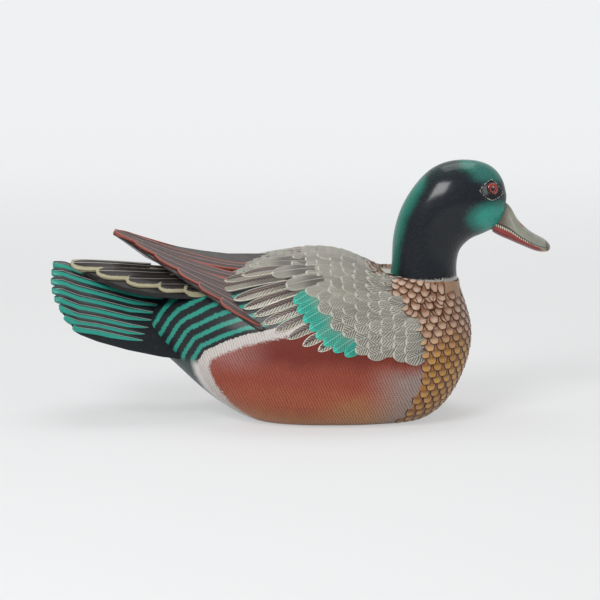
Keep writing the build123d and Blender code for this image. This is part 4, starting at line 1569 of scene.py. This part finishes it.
@dataclass
class Primaries:
    """The long wing tips that meet above the rump."""

    table: Tuple[Tuple[float, ...], ...] = (
        (-20, 130, 66, 84, 78), (-31, 131, 70, 82, 75), (-58, 131, 54.7, 97.3, 92),
        (-79, 133.5, 42.7, 109.3, 104), (-103, 137.5, 29.1, 122.9, 117),
        (-124, 142.5, 17.2, 134.8, 127), (-141, 147, 7.5, 144.5, 139.5), (-150, 149, 2.5, 148.5, 146),
    )
    tips: Tuple[Tuple[float, float, float], ...] = (
        (-149.0, 0.40, 0.20), (-133.0, 0.62, 0.36), (-116.0, 0.76, 0.52), (-97.0, 0.84, 0.66),
        (-80.0, 0.88, 0.80), (-62.0, 0.92, 0.92),
    )                                # tip x, share at the tip, share at the root
    gap: float = 0.8

    def build(self) -> Dict[str, bpy.types.Object]:
        """A thin slab with six long feathers on it, each over the next lower one.

        Returns:
            The left and the right piece by name.
        """
        vane = Vane(self.table, self.gap)
        x = np.linspace(-149.5, -24.0, 60)
        v = np.linspace(0.0, 1.0, 12)
        us, vs = np.meshgrid(x, v, indexing="ij")
        top = vane.point(us, vs)
        top[..., 2] -= 0.9
        bottom = top.copy()
        lower = vane.column(us, 5 - 1) * (1.0 - vs) + (vane.column(us, 3) - 2.6) * vs
        bottom[..., 2] = np.minimum(lower, top[..., 2] - 0.8)
        points = np.concatenate([top.reshape(-1, 3), bottom.reshape(-1, 3)])
        zero = np.zeros(len(points))
        marks = {
            Zone.ALONG.value: zero + 0.08, Zone.ACROSS.value: zero + 0.003,
            Zone.SPAN.value: zero + 0.01, Zone.TONE.value: zero + 0.9,
        }
        slab = Shape(points, slab_quads(60, 12), marks).outward()
        rows = np.array(self.tips)
        tips = rows[:, 0:2]
        roots = np.stack([np.full(len(rows), -22.0), rows[:, 2]], axis=1)
        form = FeatherForm(rows=26, cols=9, tip_share=0.14, root_share=0.75, root_lift=-0.3,
                           tip_lift=0.2, camber=0.5, depth=1.6)
        raised = np.linspace(0.9, 0.0, len(rows))
        wide = np.array([5.2, 5.6, 5.8, 5.8, 5.8, 5.4])
        feathers = lay_feathers(vane, roots, tips, wide, form, 21, raised)
        return both_sides(Shape.joined([slab, feathers]), "wing_tips")


@dataclass
class RoofFeathers:
    """Feathers on a ridged slab, for the rump coverts and for the tail."""

    name: str
    table: Tuple[Tuple[float, float, float, float], ...]
    rows: Tuple[Tuple[float, float, float, float, float], ...]   # tip x, y, root x, y, half-width
    depth: float
    form: FeatherForm
    rounding: float = 5.0
    drop: float = 1.2

    def build(self, seed: int) -> Dict[str, bpy.types.Object]:
        """The slab under the ridge and its feathers, from the middle outwards.

        Args:
            seed: start of the random draws.

        Returns:
            The pieces by name.
        """
        roof = Roof(self.table, self.rounding)
        ends = np.array(self.table)
        x = np.linspace(ends[:, 0].min(), ends[:, 0].max(), 40)
        share = np.linspace(0.0, 1.0, 14)
        half = np.interp(x, ends[::-1, 0], ends[::-1, 2])
        us, vs = np.meshgrid(x, share, indexing="ij")
        ys = half[:, None] * vs
        top = roof.point(us, ys)
        top[..., 2] -= self.drop
        bottom = top.copy()
        bottom[..., 2] -= self.depth * (1.0 - 0.5 * vs)
        points = np.concatenate([top.reshape(-1, 3), bottom.reshape(-1, 3)])
        zero = np.zeros(len(points))
        marks = {
            Zone.ALONG.value: zero + 0.08, Zone.ACROSS.value: zero + 0.003,
            Zone.SPAN.value: zero + 0.01, Zone.TONE.value: zero + 0.9,
        }
        slab = Shape(points, slab_quads(40, 14), marks).outward()
        table = np.array(self.rows)
        raised = np.linspace(0.9, 0.0, len(table))
        feathers = lay_feathers(
            roof, table[:, 2:4], table[:, 0:2], table[:, 4], self.form, seed, raised,
        )
        return both_sides(Shape.joined([slab, feathers]), self.name)


RUMP_COVERTS = RoofFeathers(
    "rump_coverts",
    ((-74, 118.5, 36, 104), (-96, 120, 34, 104), (-116, 121, 30, 104.5), (-140, 122.5, 24, 108),
     (-163, 123.5, 14, 115), (-178, 124, 5, 121.5)),
    ((-184, 4, -120, 5, 7.0), (-163, 11.5, -104, 12, 8.0), (-139, 18, -90, 19, 8.5),
     (-113, 24, -80, 26, 8.5), (-92, 28, -70, 31, 8.0)),
    7.0,
    FeatherForm(rows=20, cols=9, tip_share=0.28, root_share=0.85, root_lift=-0.4, tip_lift=0.2,
                camber=0.9, depth=3.0),
)
TAIL_FAN = RoofFeathers(
    "tail_fan",
    ((-84, 98, 37, 53), (-110, 101, 41, 57), (-136, 106, 44, 63), (-160, 113, 45, 70),
     (-176, 118, 43, 76), (-190, 122.5, 34, 93)),
    ((-198.5, 3, -80, 3, 4.8), (-199.2, 9.5, -80, 7, 4.8), (-199.2, 16, -80, 11.5, 4.8),
     (-198.0, 22.5, -80, 16, 4.8), (-195.5, 28.5, -80, 20.5, 4.6), (-191.5, 34, -80, 25, 4.4),
     (-186.5, 38.5, -80, 29, 4.2), (-179.5, 42, -80, 33, 4.0)),
    4.0,
    FeatherForm(rows=34, cols=11, tip_share=0.09, root_share=0.6, root_lift=-3.0, tip_lift=0.2,
                camber=0.8, depth=2.6),
)


# ------------------------------------------------------------------ head, bill and eyes
@dataclass
class Head:
    """The carved head and neck, painted in gloss black and teal."""

    rows: int = 190
    cols: int = 92

    def build(self) -> Dict[str, bpy.types.Object]:
        """One closed tube of sections, with its first and last one drawn to a point.

        Returns:
            The head by name.
        """
        loft = Loft(HEAD_TABLE, 2.0, 2.0)
        u = np.linspace(0.0, 1.0, self.rows)
        v = np.linspace(-math.pi, math.pi, 2 * self.cols, endpoint=False)
        us, vs = np.meshgrid(u, v, indexing="ij")
        tube = loft.point(us, vs)
        tube[..., 2] = np.maximum(tube[..., 2], HEAD_BASE_Z)
        first, last = tube[0].mean(axis=0), tube[-1].mean(axis=0)
        inner = [first + (tube[0] - first) * share for share in (0.02, 0.35, 0.7)]
        outer = [last + (tube[-1] - last) * share for share in (0.8, 0.4, 0.02)]
        tube = np.concatenate([np.array(inner), tube, np.array(outer)])
        rows, cols = tube.shape[:2]
        points = tube.reshape(-1, 3)
        place = side_view(points)
        x, z = place[:, 0], place[:, 1]
        back = line_distance(place, ((68, 100), (71, 122), (73, 141), (78, 162), (89, 183),
                                     (106, 200), (129, 206), (147, 203.5), (157, 197)))
        nape = 1.0 - smooth(1.0, 12.0, np.abs(back))
        nape *= 1.0 - 0.8 * smooth(94.0, 104.0, x) * smooth(134.0, 122.0, x)
        cheek = 1.0 - smooth(0.25, 1.15, np.hypot((x - 155.0) / 27.0, (z - 161.0) / 17.0))
        cheek *= smooth(184.0, 174.0, z)
        slant = z - 184.0 - 0.35 * (152.0 - x) * (x > 152.0)
        mask = 1.0 - np.abs((x - 152.0) / 9.6) ** 1.3 - np.abs(slant / 8.0) ** 1.3
        forehead = smooth(126.0, 146.0, x) * smooth(184.0, 197.0, z)
        marks = {
            Zone.NAPE.value: nape, Zone.CHEEK.value: cheek, Zone.MASK.value: mask,
            Zone.COVER.value: forehead,
        }
        shape = Shape(points, grid_quads(rows, cols, True), marks).outward()
        return {"head_carving": shape.build("head_carving", 60.0)}

    def paint(self, effects: Effects) -> bpy.types.Material:
        """Blue black, teal on nape, cheek and forehead, a dotted eye line and a pale collar.

        Args:
            effects: the shared effects.

        Returns:
            The material.
        """
        finish = Finish("head paint", effects)
        t = finish.t
        _, x, y, z = t.place()
        nape = t.group(effects.fringe, t.mark(Zone.NAPE), 0.4, 900.0)[0]
        cheek = t.group(effects.fringe, t.mark(Zone.CHEEK), 0.45, 900.0)[0]
        fore = t.group(effects.fringe, t.mark(Zone.COVER), 0.4, 900.0)[0]
        mask = t.mark(Zone.MASK)
        colour = t.mix(t.noise(30.0, 3.0), srgb("090b10"), srgb("141a24"))
        colour = t.mix(t.step(nape, 0.0, 1.0, 0.0, 0.95), colour, srgb("1a7565"))
        colour = t.mix(t.step(cheek, 0.0, 0.55, 0.0, 0.9), colour, srgb("1d6b60"))
        colour = t.mix(t.step(cheek, 0.45, 1.0, 0.0, 0.9), colour, srgb("2a9383"))
        colour = t.mix(t.step(fore, 0.1, 1.0, 0.0, 0.9), colour, srgb("2c6d63"))
        colour = t.mix(t.step(mask, 0.0, 0.05), colour, srgb("121317"))
        rim = t.math("MULTIPLY", t.step(mask, -0.06, -0.02), t.step(mask, 0.02, 0.06, 1.0, 0.0))
        dots = t.step(t.noise(900.0, 1.0), 0.46, 0.54)
        rim = t.math("MULTIPLY", t.math("MULTIPLY", rim, dots), 0.75)
        colour = t.mix(rim, colour, srgb("d8dcd2"))
        ring = t.math("SUBTRACT", z, 0.11)
        collar = t.group(effects.fringe, ring, 0.0050, 700.0)[0]
        colour = t.mix(t.step(collar, 0.0022, 0.0040, 0.9, 0.0), colour, srgb("cfcac4"))
        marks = t.group(effects.strokes, t.vector(x, t.math("MULTIPLY", y, 2.0), z), 380.0)[0]
        return finish.close(colour, 0.22, marks, 0.0017, 0.6, ageing=0.25, gloss=0.1)


@dataclass
class Bill:
    """The two halves of the bill."""

    stations: Tuple[Tuple[float, ...], ...] = (
        (154, 175, 151.5, 148.5, 10), (160, 173.5, 149, 145.3, 11.5), (166.5, 170, 146.2, 142.5, 12),
        (173, 160, 143.2, 139.6, 12.5), (181, 151.2, 139.5, 136.3, 13.2),
        (189, 145.7, 136.2, 133.3, 13.8), (195.5, 142.2, 134.8, 132.4, 12.2),
        (199.2, 138.8, 134.6, 133.2, 7.5), (200.4, 137, 135.2, 134.4, 3),
    )                                # x, crown, parting line, chin, half-width
    jaw_inset: float = 0.9
    rows: int = 90
    cols: int = 41

    def halves(self) -> Tuple[Shape, Shape]:
        """Both halves: height = parting line + rise * (1 - |t|^2.4), t the share across.

        Returns:
            The upper half and the jaw.
        """
        table = np.array(self.stations)
        gaps = np.linalg.norm(np.diff(table[:, :2], axis=0), axis=1)
        rows = Curve(table, gaps).at(np.linspace(0.0, 1.0, self.rows))
        rows[:, 0] = np.minimum(rows[:, 0], 200.4)
        t = np.sin(np.linspace(-math.pi / 2.0, math.pi / 2.0, self.cols))
        bulge = (1.0 - np.abs(t) ** 2.4)[None, :]
        x = np.broadcast_to(rows[:, 0:1], (self.rows, self.cols))
        crown, parting, chin, half = (rows[:, i:i + 1] for i in (1, 2, 3, 4))
        reach = np.broadcast_to(np.linspace(0.0, 1.0, self.rows)[:, None], x.shape)
        top = np.stack([x, half * t, parting + (crown - parting) * bulge], axis=-1)
        under = np.stack([x, half * t, parting - 0.1 + 0.0 * bulge], axis=-1)
        upper = self.slab(top, under, np.broadcast_to(bulge, x.shape), reach)
        narrow = np.maximum(half - self.jaw_inset, 1.0)
        comb = 0.22 * np.sin(x * 3.6) * smooth(0.6, 0.95, np.abs(t))[None, :]
        jaw_top = np.stack([x, (narrow + comb) * t, parting - 0.2 + 0.0 * bulge], axis=-1)
        jaw_floor = parting - 0.5 + (chin - parting) * bulge
        jaw_low = np.stack([x, (narrow + comb) * t, jaw_floor], axis=-1)
        return upper, self.slab(jaw_top, jaw_low, np.broadcast_to(bulge, x.shape), reach)

    def slab(self, top: Array, under: Array, bulge: Array, reach: Array) -> Shape:
        """A closed slab between two grids.

        Args:
            top: upper grid.
            under: lower grid.
            bulge: height share at each point.
            reach: share of the length at each point.

        Returns:
            The closed slab.
        """
        points = np.concatenate([top.reshape(-1, 3), under.reshape(-1, 3)])
        marks = {
            Zone.GIRTH.value: np.tile(bulge.ravel(), 2),
            Zone.REACH.value: np.tile(reach.ravel(), 2),
        }
        return Shape(points, slab_quads(self.rows, self.cols), marks).outward()

    def upper_paint(self, effects: Effects) -> bpy.types.Material:
        """Olive grey, brown at the root, dark along the parting line, red spot, tan nail.

        Args:
            effects: the shared effects.

        Returns:
            The material.
        """
        finish = Finish("bill paint", effects)
        t = finish.t
        _, x, y, z = t.place()
        girth = t.mark(Zone.GIRTH)
        colour = t.mix(t.step(t.noise(60.0, 3.0), 0.3, 0.7), srgb("84857a"), srgb("9a9a88"))
        root = t.group(effects.fringe, x, 0.004, 300.0)[0]
        colour = t.mix(t.step(root, 0.160, 0.172, 0.85, 0.0), colour, srgb("54443f"))
        ahead = t.math("DIVIDE", t.math("SUBTRACT", x, 0.177), 0.0034)
        aside = t.math("DIVIDE", y, 0.0058)
        spot = t.math("ADD", t.math("POWER", ahead, 2.0), t.math("POWER", aside, 2.0))
        colour = t.mix(t.step(spot, 0.6, 1.1, 0.85, 0.0), colour, srgb("8c3b36"))
        ticks = t.step(t.math("SINE", t.math("MULTIPLY", x, 3800.0)), -0.3, 0.4)
        comb = t.mix(ticks, srgb("cfccb4"), srgb("4a3f38"))
        within = t.step(x, 0.180, 0.187, 1.0, 0.0)
        colour = t.mix(t.step(girth, 0.26, 0.30, 0.9, 0.0), colour, srgb("3a2d2a"))
        toothed = t.math("MULTIPLY", t.step(girth, 0.20, 0.23, 1.0, 0.0), within)
        colour = t.mix(toothed, colour, comb)
        plain = t.math("MULTIPLY", t.step(girth, 0.20, 0.24, 1.0, 0.0), t.step(x, 0.183, 0.188))
        colour = t.mix(plain, colour, srgb("86877a"))
        low = t.step(girth, 0.12, 0.15, 1.0, 0.0)
        red = t.math("MULTIPLY", low, t.step(x, 0.190, 0.194, 1.0, 0.0))
        colour = t.mix(red, colour, srgb("8a3733"))
        colour = t.mix(t.step(x, 0.1955, 0.1975), colour, srgb("59503f"))
        marks = t.group(effects.strokes, t.vector(t.math("MULTIPLY", x, 0.4), y, z), 420.0)[0]
        return finish.close(colour, 0.26, marks, 0.0003, 0.5, ageing=0.3)

    def jaw_paint(self, effects: Effects) -> bpy.types.Material:
        """Dark red, darker towards its sides, with a tan tip.

        Args:
            effects: the shared effects.

        Returns:
            The material.
        """
        finish = Finish("jaw paint", effects)
        t = finish.t
        vector, x, _, _ = t.place()
        girth = t.mark(Zone.GIRTH)
        colour = t.mix(t.step(girth, 0.30, 0.42, 1.0, 0.0), srgb("8a3733"), srgb("702b29"))
        colour = t.mix(t.step(x, 0.192, 0.196), colour, srgb("c9a26a"))
        marks = t.group(effects.strokes, vector, 420.0)[0]
        return finish.close(colour, 0.3, marks, 0.0003, 0.45, ageing=0.3)


@dataclass
class Eyes:
    """Glass eyes: a painted disc in a clear dome, with a dark lid round each."""

    centre: Tuple[float, float, float] = (152.1, 16.2, 184.5)
    way: Tuple[float, float, float] = (0.373, 0.922, 0.105)
    radius: float = 4.9
    dome: float = 2.3
    stand_out: float = 0.2
    around: int = 48

    def turned(self, radii: Array, heights: Array) -> Shape:
        """A closed turning round the eye's line, from points of radius and height.

        Args:
            radii: distances from the line.
            heights: places along it.

        Returns:
            The closed turning.
        """
        axis = np.array(self.way) / np.linalg.norm(self.way)
        side = np.cross(axis, [0.0, 0.0, 1.0])
        side /= np.linalg.norm(side)
        up = np.cross(side, axis)
        angle = np.linspace(0.0, 2.0 * math.pi, self.around, endpoint=False)
        rim = side * np.cos(angle)[:, None] + up * np.sin(angle)[:, None]
        points = (
            np.array(self.centre) + rim[None] * radii[:, None, None]
            + axis * heights[:, None, None]
        )
        marks = {Zone.GIRTH.value: np.repeat(radii, self.around) * MM}
        quads = grid_quads(len(radii), self.around, True)
        return Shape(points.reshape(-1, 3), quads, marks).outward()

    def shapes(self) -> Tuple[Shape, Shape, Shape]:
        """The painted disc, the clear dome over it and the lid.

        Returns:
            Disc, dome and lid.
        """
        r = self.radius
        arc = np.linspace(0.0, math.pi / 2.0, 14)
        lift = self.stand_out
        disc_r = np.concatenate([[0.02], np.linspace(0.4, r - 0.3, 22), [r - 0.3, 0.02]])
        swell = 1.5 - 0.055 * np.linspace(0.4, r - 0.3, 22) ** 2
        disc_h = np.concatenate([[1.5], swell, [-2.5, -2.6]]) + lift
        dome_r = np.concatenate([[0.02], r * np.sin(arc[1:]), [r, 0.02]])
        dome_h = np.concatenate([[self.dome], self.dome * np.cos(arc[1:]), [-0.3, -0.3]]) + lift + 0.75
        turn = np.linspace(0.0, 2.0 * math.pi, 13)
        lid_r, lid_h = r + 0.2 + 0.5 * np.cos(turn), lift + 0.3 + 0.5 * np.sin(turn)
        return self.turned(disc_r, disc_h), self.turned(dome_r, dome_h), self.turned(lid_r, lid_h)

    def iris_paint(self, effects: Effects) -> bpy.types.Material:
        """Dark pupil, mottled red-orange iris with a darker ring, black rim, by the radius.

        Args:
            effects: the shared effects.

        Returns:
            The material.
        """
        finish = Finish("iris paint", effects)
        t = finish.t
        far = t.group(effects.fringe, t.mark(Zone.GIRTH), 0.0003, 1500.0)[0]
        colour = t.mix(t.step(t.noise(1200.0, 3.0), 0.35, 0.65), srgb("a82a22"), srgb("d0503c"))
        inner = t.math("MULTIPLY", t.step(far, 0.0026, 0.0028), t.step(far, 0.0030, 0.0032, 1.0, 0.0))
        colour = t.mix(t.math("MULTIPLY", inner, 0.7), colour, srgb("3a1010"))
        colour = t.mix(t.step(far, 0.0016, 0.0018, 1.0, 0.0), colour, srgb("17191f"))
        colour = t.mix(t.step(far, 0.0044, 0.0046), colour, srgb("140f10"))
        return finish.close(colour, 0.3, t.noise(900.0), 0.0001, 0.2, ageing=0.1)

    @staticmethod
    def glass(effects: Effects) -> bpy.types.Material:
        """Clear glass with a faint surface.

        Args:
            effects: the shared effects.

        Returns:
            The material.
        """
        finish = Finish("eye glass", effects)
        t = finish.t
        material = finish.close(t.mix(t.noise(40.0), (1, 1, 1, 1), (0.96, 0.97, 1, 1)), 0.02,
                                t.noise(300.0), 0.00002, 0.0, ageing=0.05, gloss=0.5)
        finish.shader.inputs["Transmission Weight"].default_value = 1.0
        finish.shader.inputs["IOR"].default_value = 1.45
        return material

    @staticmethod
    def lid_paint(effects: Effects) -> bpy.types.Material:
        """Black gloss round the eye.

        Args:
            effects: the shared effects.

        Returns:
            The material.
        """
        finish = Finish("eyelid paint", effects)
        t = finish.t
        return finish.close(t.mix(t.noise(200.0), srgb("0d0e12"), srgb("1c2027")), 0.3,
                            t.noise(500.0), 0.0002, 0.5)


# ------------------------------------------------------------------ hardware and bare wood
@dataclass(frozen=True)
class Metal:
    """A plain metal: its colours, roughness and how deep its brushing is."""

    name: str
    light: str
    dark: str
    roughness: float
    depth: float = 0.0001
    metallic: float = 1.0

    def make(self, effects: Effects) -> bpy.types.Material:
        """The material: brushed noise between two colours, dulled in blotches.

        Args:
            effects: the shared effects.

        Returns:
            The material.
        """
        finish = Finish(self.name, effects)
        t = finish.t
        _, x, y, z = t.place()
        brushed = t.group(effects.strokes, t.vector(t.math("MULTIPLY", x, 0.2), y, z), 900.0)[0]
        worn = t.step(t.noise(70.0, 5.0), 0.35, 0.7)
        colour = t.mix(worn, srgb(self.light), srgb(self.dark))
        return finish.close(colour, self.roughness, brushed, self.depth, 0.0, self.metallic, gloss=0.5)


@dataclass(frozen=True)
class Wood:
    """Wood with grain along X: its colours and roughness."""

    name: str
    light: str
    dark: str
    roughness: float = 0.6

    def make(self, effects: Effects) -> bpy.types.Material:
        """The material: rings about a line along X, distorted by noise, with fine pores.

        Args:
            effects: the shared effects.

        Returns:
            The material.
        """
        finish = Finish(self.name, effects)
        t = finish.t
        _, x, y, z = t.place()
        drawn = t.vector(t.math("MULTIPLY", x, 0.12), y, z)
        ring = t.math("SINE", t.math("MULTIPLY", t.noise(26.0, 2.0, drawn), 70.0))
        pores = t.group(effects.strokes, drawn, 1400.0)[0]
        grain = t.math("ADD", t.math("MULTIPLY", t.step(ring, -1.0, 1.0), 0.5),
                       t.math("MULTIPLY", pores, 0.5))
        colour = t.mix(t.step(grain, 0.2, 0.85), srgb(self.light), srgb(self.dark))
        return finish.close(colour, self.roughness, grain, 0.0003, 0.05)


CAD_FINISHES: Dict[str, object] = {
    "body_lower": Wood("sealed bottom wood", "8a4a34", "6d3526", 0.5),
    "body_upper": Wood("upper half wood", "7d6a58", "5e4d40", 0.6),
    "seam_dowels": Wood("dowel wood", "cda878", "ab8456"),
    "ballast_weight": Metal("cast lead", "6f7276", "515458", 0.55, 0.0004),
    "ballast_screws": Metal("zinc screws", "b9bcc0", "8f9297", 0.35),
    "clip_screws": Metal("brass screws", "c8a052", "8f6d34", 0.35),
    "anchor_clip": Metal("brass clip", "c39a4d", "8a6a35", 0.38),
    "anchor_bail": Metal("brass wire", "c9a256", "94733a", 0.32),
    "neck_bush": Metal("turned brass", "c9a256", "94733a", 0.3),
    "neck_stud": Metal("zinc stud", "b3b6ba", "84878c", 0.35),
    "clamp_washer": Metal("zinc washer", "b9bcc0", "8f9297", 0.4),
    "spring_washer": Metal("spring steel", "9a9da2", "6a6d72", 0.35),
    "lock_nut": Metal("zinc nut", "b3b6ba", "84878c", 0.35),
    "fibre_washer": Metal("red fibre", "7a3a28", "5c2a1e", 0.6, 0.0002, 0.0),
}


def dress_frame(effects: Effects) -> None:
    """Gives the frame's own pieces their finishes.

    Args:
        effects: the shared effects.
    """
    for node, look in CAD_FINISHES.items():
        material = look.make(effects)
        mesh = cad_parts[node].data
        if len(mesh.materials) == 0:
            mesh.materials.append(material)
        for index in range(len(mesh.materials)):
            mesh.materials[index] = material
        log.info("%s: %s", node, material.name)


# ------------------------------------------------------------------ studio
@dataclass
class Studio:
    """Floor, backdrop, lamps and camera."""

    distance: float = 2.2
    height_angle: float = 10.0
    lens: float = 164.0
    target: Tuple[float, float, float] = (0.0, 0.0, 0.0923)

    def build(self) -> None:
        """Adds everything."""
        self.cove()
        self.lamp("key", (-0.75, -1.3, 1.25), 0.75, 21.0)
        self.lamp("fill", (1.5, -1.2, 0.9), 0.6, 5.0)
        self.lamp("top", (0.0, 0.5, 1.9), 1.2, 12.0)
        self.sky()
        self.camera()

    def cove(self) -> None:
        """A floor that curves up into a backdrop: flat, then a quarter circle, then upright."""
        radius, depth = 0.8, 1.6
        bend = np.linspace(0.0, math.pi / 2.0, 24)
        y = np.concatenate([[-6.0, 0.0], depth + radius * np.sin(bend), [depth + radius]])
        z = np.concatenate([[0.0, 0.0], radius * (1.0 - np.cos(bend)), [4.0]])
        x = np.linspace(-6.0, 6.0, 9)
        ys, xs = np.meshgrid(y, x, indexing="ij")
        zs = np.broadcast_to(z[:, None], ys.shape)
        points = np.stack([xs, ys, zs], axis=-1).reshape(-1, 3) / MM
        cove = Shape(points, grid_quads(len(y), len(x))[:, ::-1]).build("studio_cove")
        material = bpy.data.materials.new("studio paper")
        material.use_nodes = True
        t = Tree(material.node_tree)
        shader = material.node_tree.nodes["Principled BSDF"]
        t.put(shader.inputs["Base Color"], t.mix(t.noise(1.2, 2.0), srgb("e6e6e7"), srgb("eaeaeb")))
        shader.inputs["Roughness"].default_value = 0.9
        glow = t.node("ShaderNodeEmission")
        y = t.place()[2]
        t.put(glow.inputs["Color"], t.mix(t.step(y, 0.2, 2.3), srgb("e9eaea"), srgb("f0f1f3")))
        path = t.node("ShaderNodeLightPath")
        seen = t.math("MAXIMUM", path.outputs["Is Camera Ray"], path.outputs["Is Glossy Ray"])
        seen = t.math("MAXIMUM", seen, path.outputs["Is Transmission Ray"])
        share = t.math("MULTIPLY", seen, t.step(y, 0.2, 1.6, 0.55, 1.0))
        blend = t.node("ShaderNodeMixShader")
        t.put(blend.inputs[0], share)
        t.put(blend.inputs[1], shader.outputs[0])
        t.put(blend.inputs[2], glow.outputs[0])
        t.put(material.node_tree.nodes["Material Output"].inputs["Surface"], blend.outputs[0])
        cove.data.materials.append(material)

    def lamp(self, name: str, place: Tuple[float, float, float], size: float, power: float) -> None:
        """One square soft lamp that faces the decoy.

        Args:
            name: the lamp's name.
            place: where it hangs.
            size: its side in metres.
            power: in watts.
        """
        data = bpy.data.lights.new(name, "AREA")
        data.size = size
        data.energy = power
        lamp = bpy.data.objects.new(name, data)
        lamp.location = place
        way = np.array(self.target) - np.array(place)
        lamp.rotation_euler = self.facing(way)
        bpy.context.scene.collection.objects.link(lamp)

    @staticmethod
    def facing(way: Array) -> Tuple[float, float, float]:
        """Euler angles that turn -Z along a way, with +Y kept upright."""
        flat = math.hypot(way[0], way[1])
        return (math.atan2(flat, -way[2]), 0.0, math.atan2(-way[0], way[1]))

    def sky(self) -> None:
        """A plain pale world."""
        world = bpy.data.worlds.new("studio air")
        bpy.context.scene.world = world
        world.use_nodes = True
        t = Tree(world.node_tree)
        background = world.node_tree.nodes["Background"]
        t.put(background.inputs["Color"], srgb("f6f7f9"))
        background.inputs["Strength"].default_value = 0.42

    def camera(self) -> None:
        """The camera, at the side of the decoy and a little above it."""
        data = bpy.data.cameras.new("camera")
        data.lens = self.lens
        data.sensor_width = 36.0
        camera = bpy.data.objects.new("camera", data)
        angle = math.radians(self.height_angle)
        offset = np.array([0.0, -math.cos(angle), math.sin(angle)]) * self.distance
        camera.location = tuple(np.array(self.target) + offset)
        camera.rotation_euler = self.facing(-offset)
        bpy.context.scene.collection.objects.link(camera)
        bpy.context.scene.camera = camera


# ------------------------------------------------------------------ the decoy
def dress_body(effects: Effects) -> None:
    """Builds and paints everything that stays with the body.

    Args:
        effects: the shared effects.
    """
    coat = BodyCoat()
    pieces = coat.build()
    dress(pieces, coat.paint(effects))
    ride_all(pieces, "body")
    scales = BreastScales().build(coat)
    dress(scales, BREAST_PAINT.make(effects))
    ride_all(scales, "body")
    wing = Wing()
    covert_look = COVERT_PAINT.make(effects)
    coverts = wing.build_coverts()
    dress(coverts, covert_look)
    for side in ("left", "right"):
        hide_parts(f"wing_{side}")
    ride_all(coverts, "body")
    speculum = wing.build_speculum()
    dress(speculum, SPECULUM_PAINT.make(effects))
    ride_all(speculum, "body")
    secondaries = wing.build_secondaries()
    dress(secondaries, SECONDARY_PAINT.make(effects))
    ride_all(secondaries, "body")
    mantle = Mantle().build()
    dress(mantle, MANTLE_PAINT.make(effects))
    ride_all(mantle, "body")
    primaries = Primaries().build()
    dress(primaries, PRIMARY_PAINT.make(effects))
    for side in ("left", "right"):
        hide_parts(f"primaries_{side}")
    ride_all(primaries, "body")
    rump = RUMP_COVERTS.build(31)
    dress(rump, RUMP_PAINT.make(effects))
    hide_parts("rump_coverts")
    ride_all(rump, "body")
    tail = TAIL_FAN.build(32)
    dress(tail, TAIL_PAINT.make(effects))
    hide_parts("tail_fan")
    ride_all(tail, "body")


def dress_head(effects: Effects) -> None:
    """Builds and paints everything that turns with the head.

    Args:
        effects: the shared effects.
    """
    head = Head()
    carving = head.build()
    dress(carving, head.paint(effects))
    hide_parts("head")
    ride_all(carving, "head")
    bill = Bill()
    upper, jaw = bill.halves()
    top, low = upper.build("bill_top", 50.0), jaw.build("bill_jaw", 50.0)
    top.data.materials.append(bill.upper_paint(effects))
    low.data.materials.append(bill.jaw_paint(effects))
    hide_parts("bill_upper")
    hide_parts("bill_lower")
    ride_all({"bill_top": top}, "head")
    ride_all({"bill_jaw": low}, "head")
    eyes = Eyes()
    looks = (eyes.iris_paint(effects), eyes.glass(effects), eyes.lid_paint(effects))
    for shape, look, name in zip(eyes.shapes(), looks, ("iris", "eye_glass", "eyelid")):
        made = both_sides(shape, name)
        dress(made, look)
        ride_all(made, "head")
        if name == "eye_glass":
            for side in ("left", "right"):
                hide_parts(f"eye_{side}")


def main() -> None:
    """Builds the decoy and its studio."""
    logging.basicConfig(level=logging.INFO, format="%(name)s %(message)s")
    bpy.context.scene.view_settings.view_transform = "Standard"
    effects = Effects()
    dress_body(effects)
    dress_head(effects)
    dress_frame(effects)
    Studio().build()


if __name__ == "__main__":
    main()
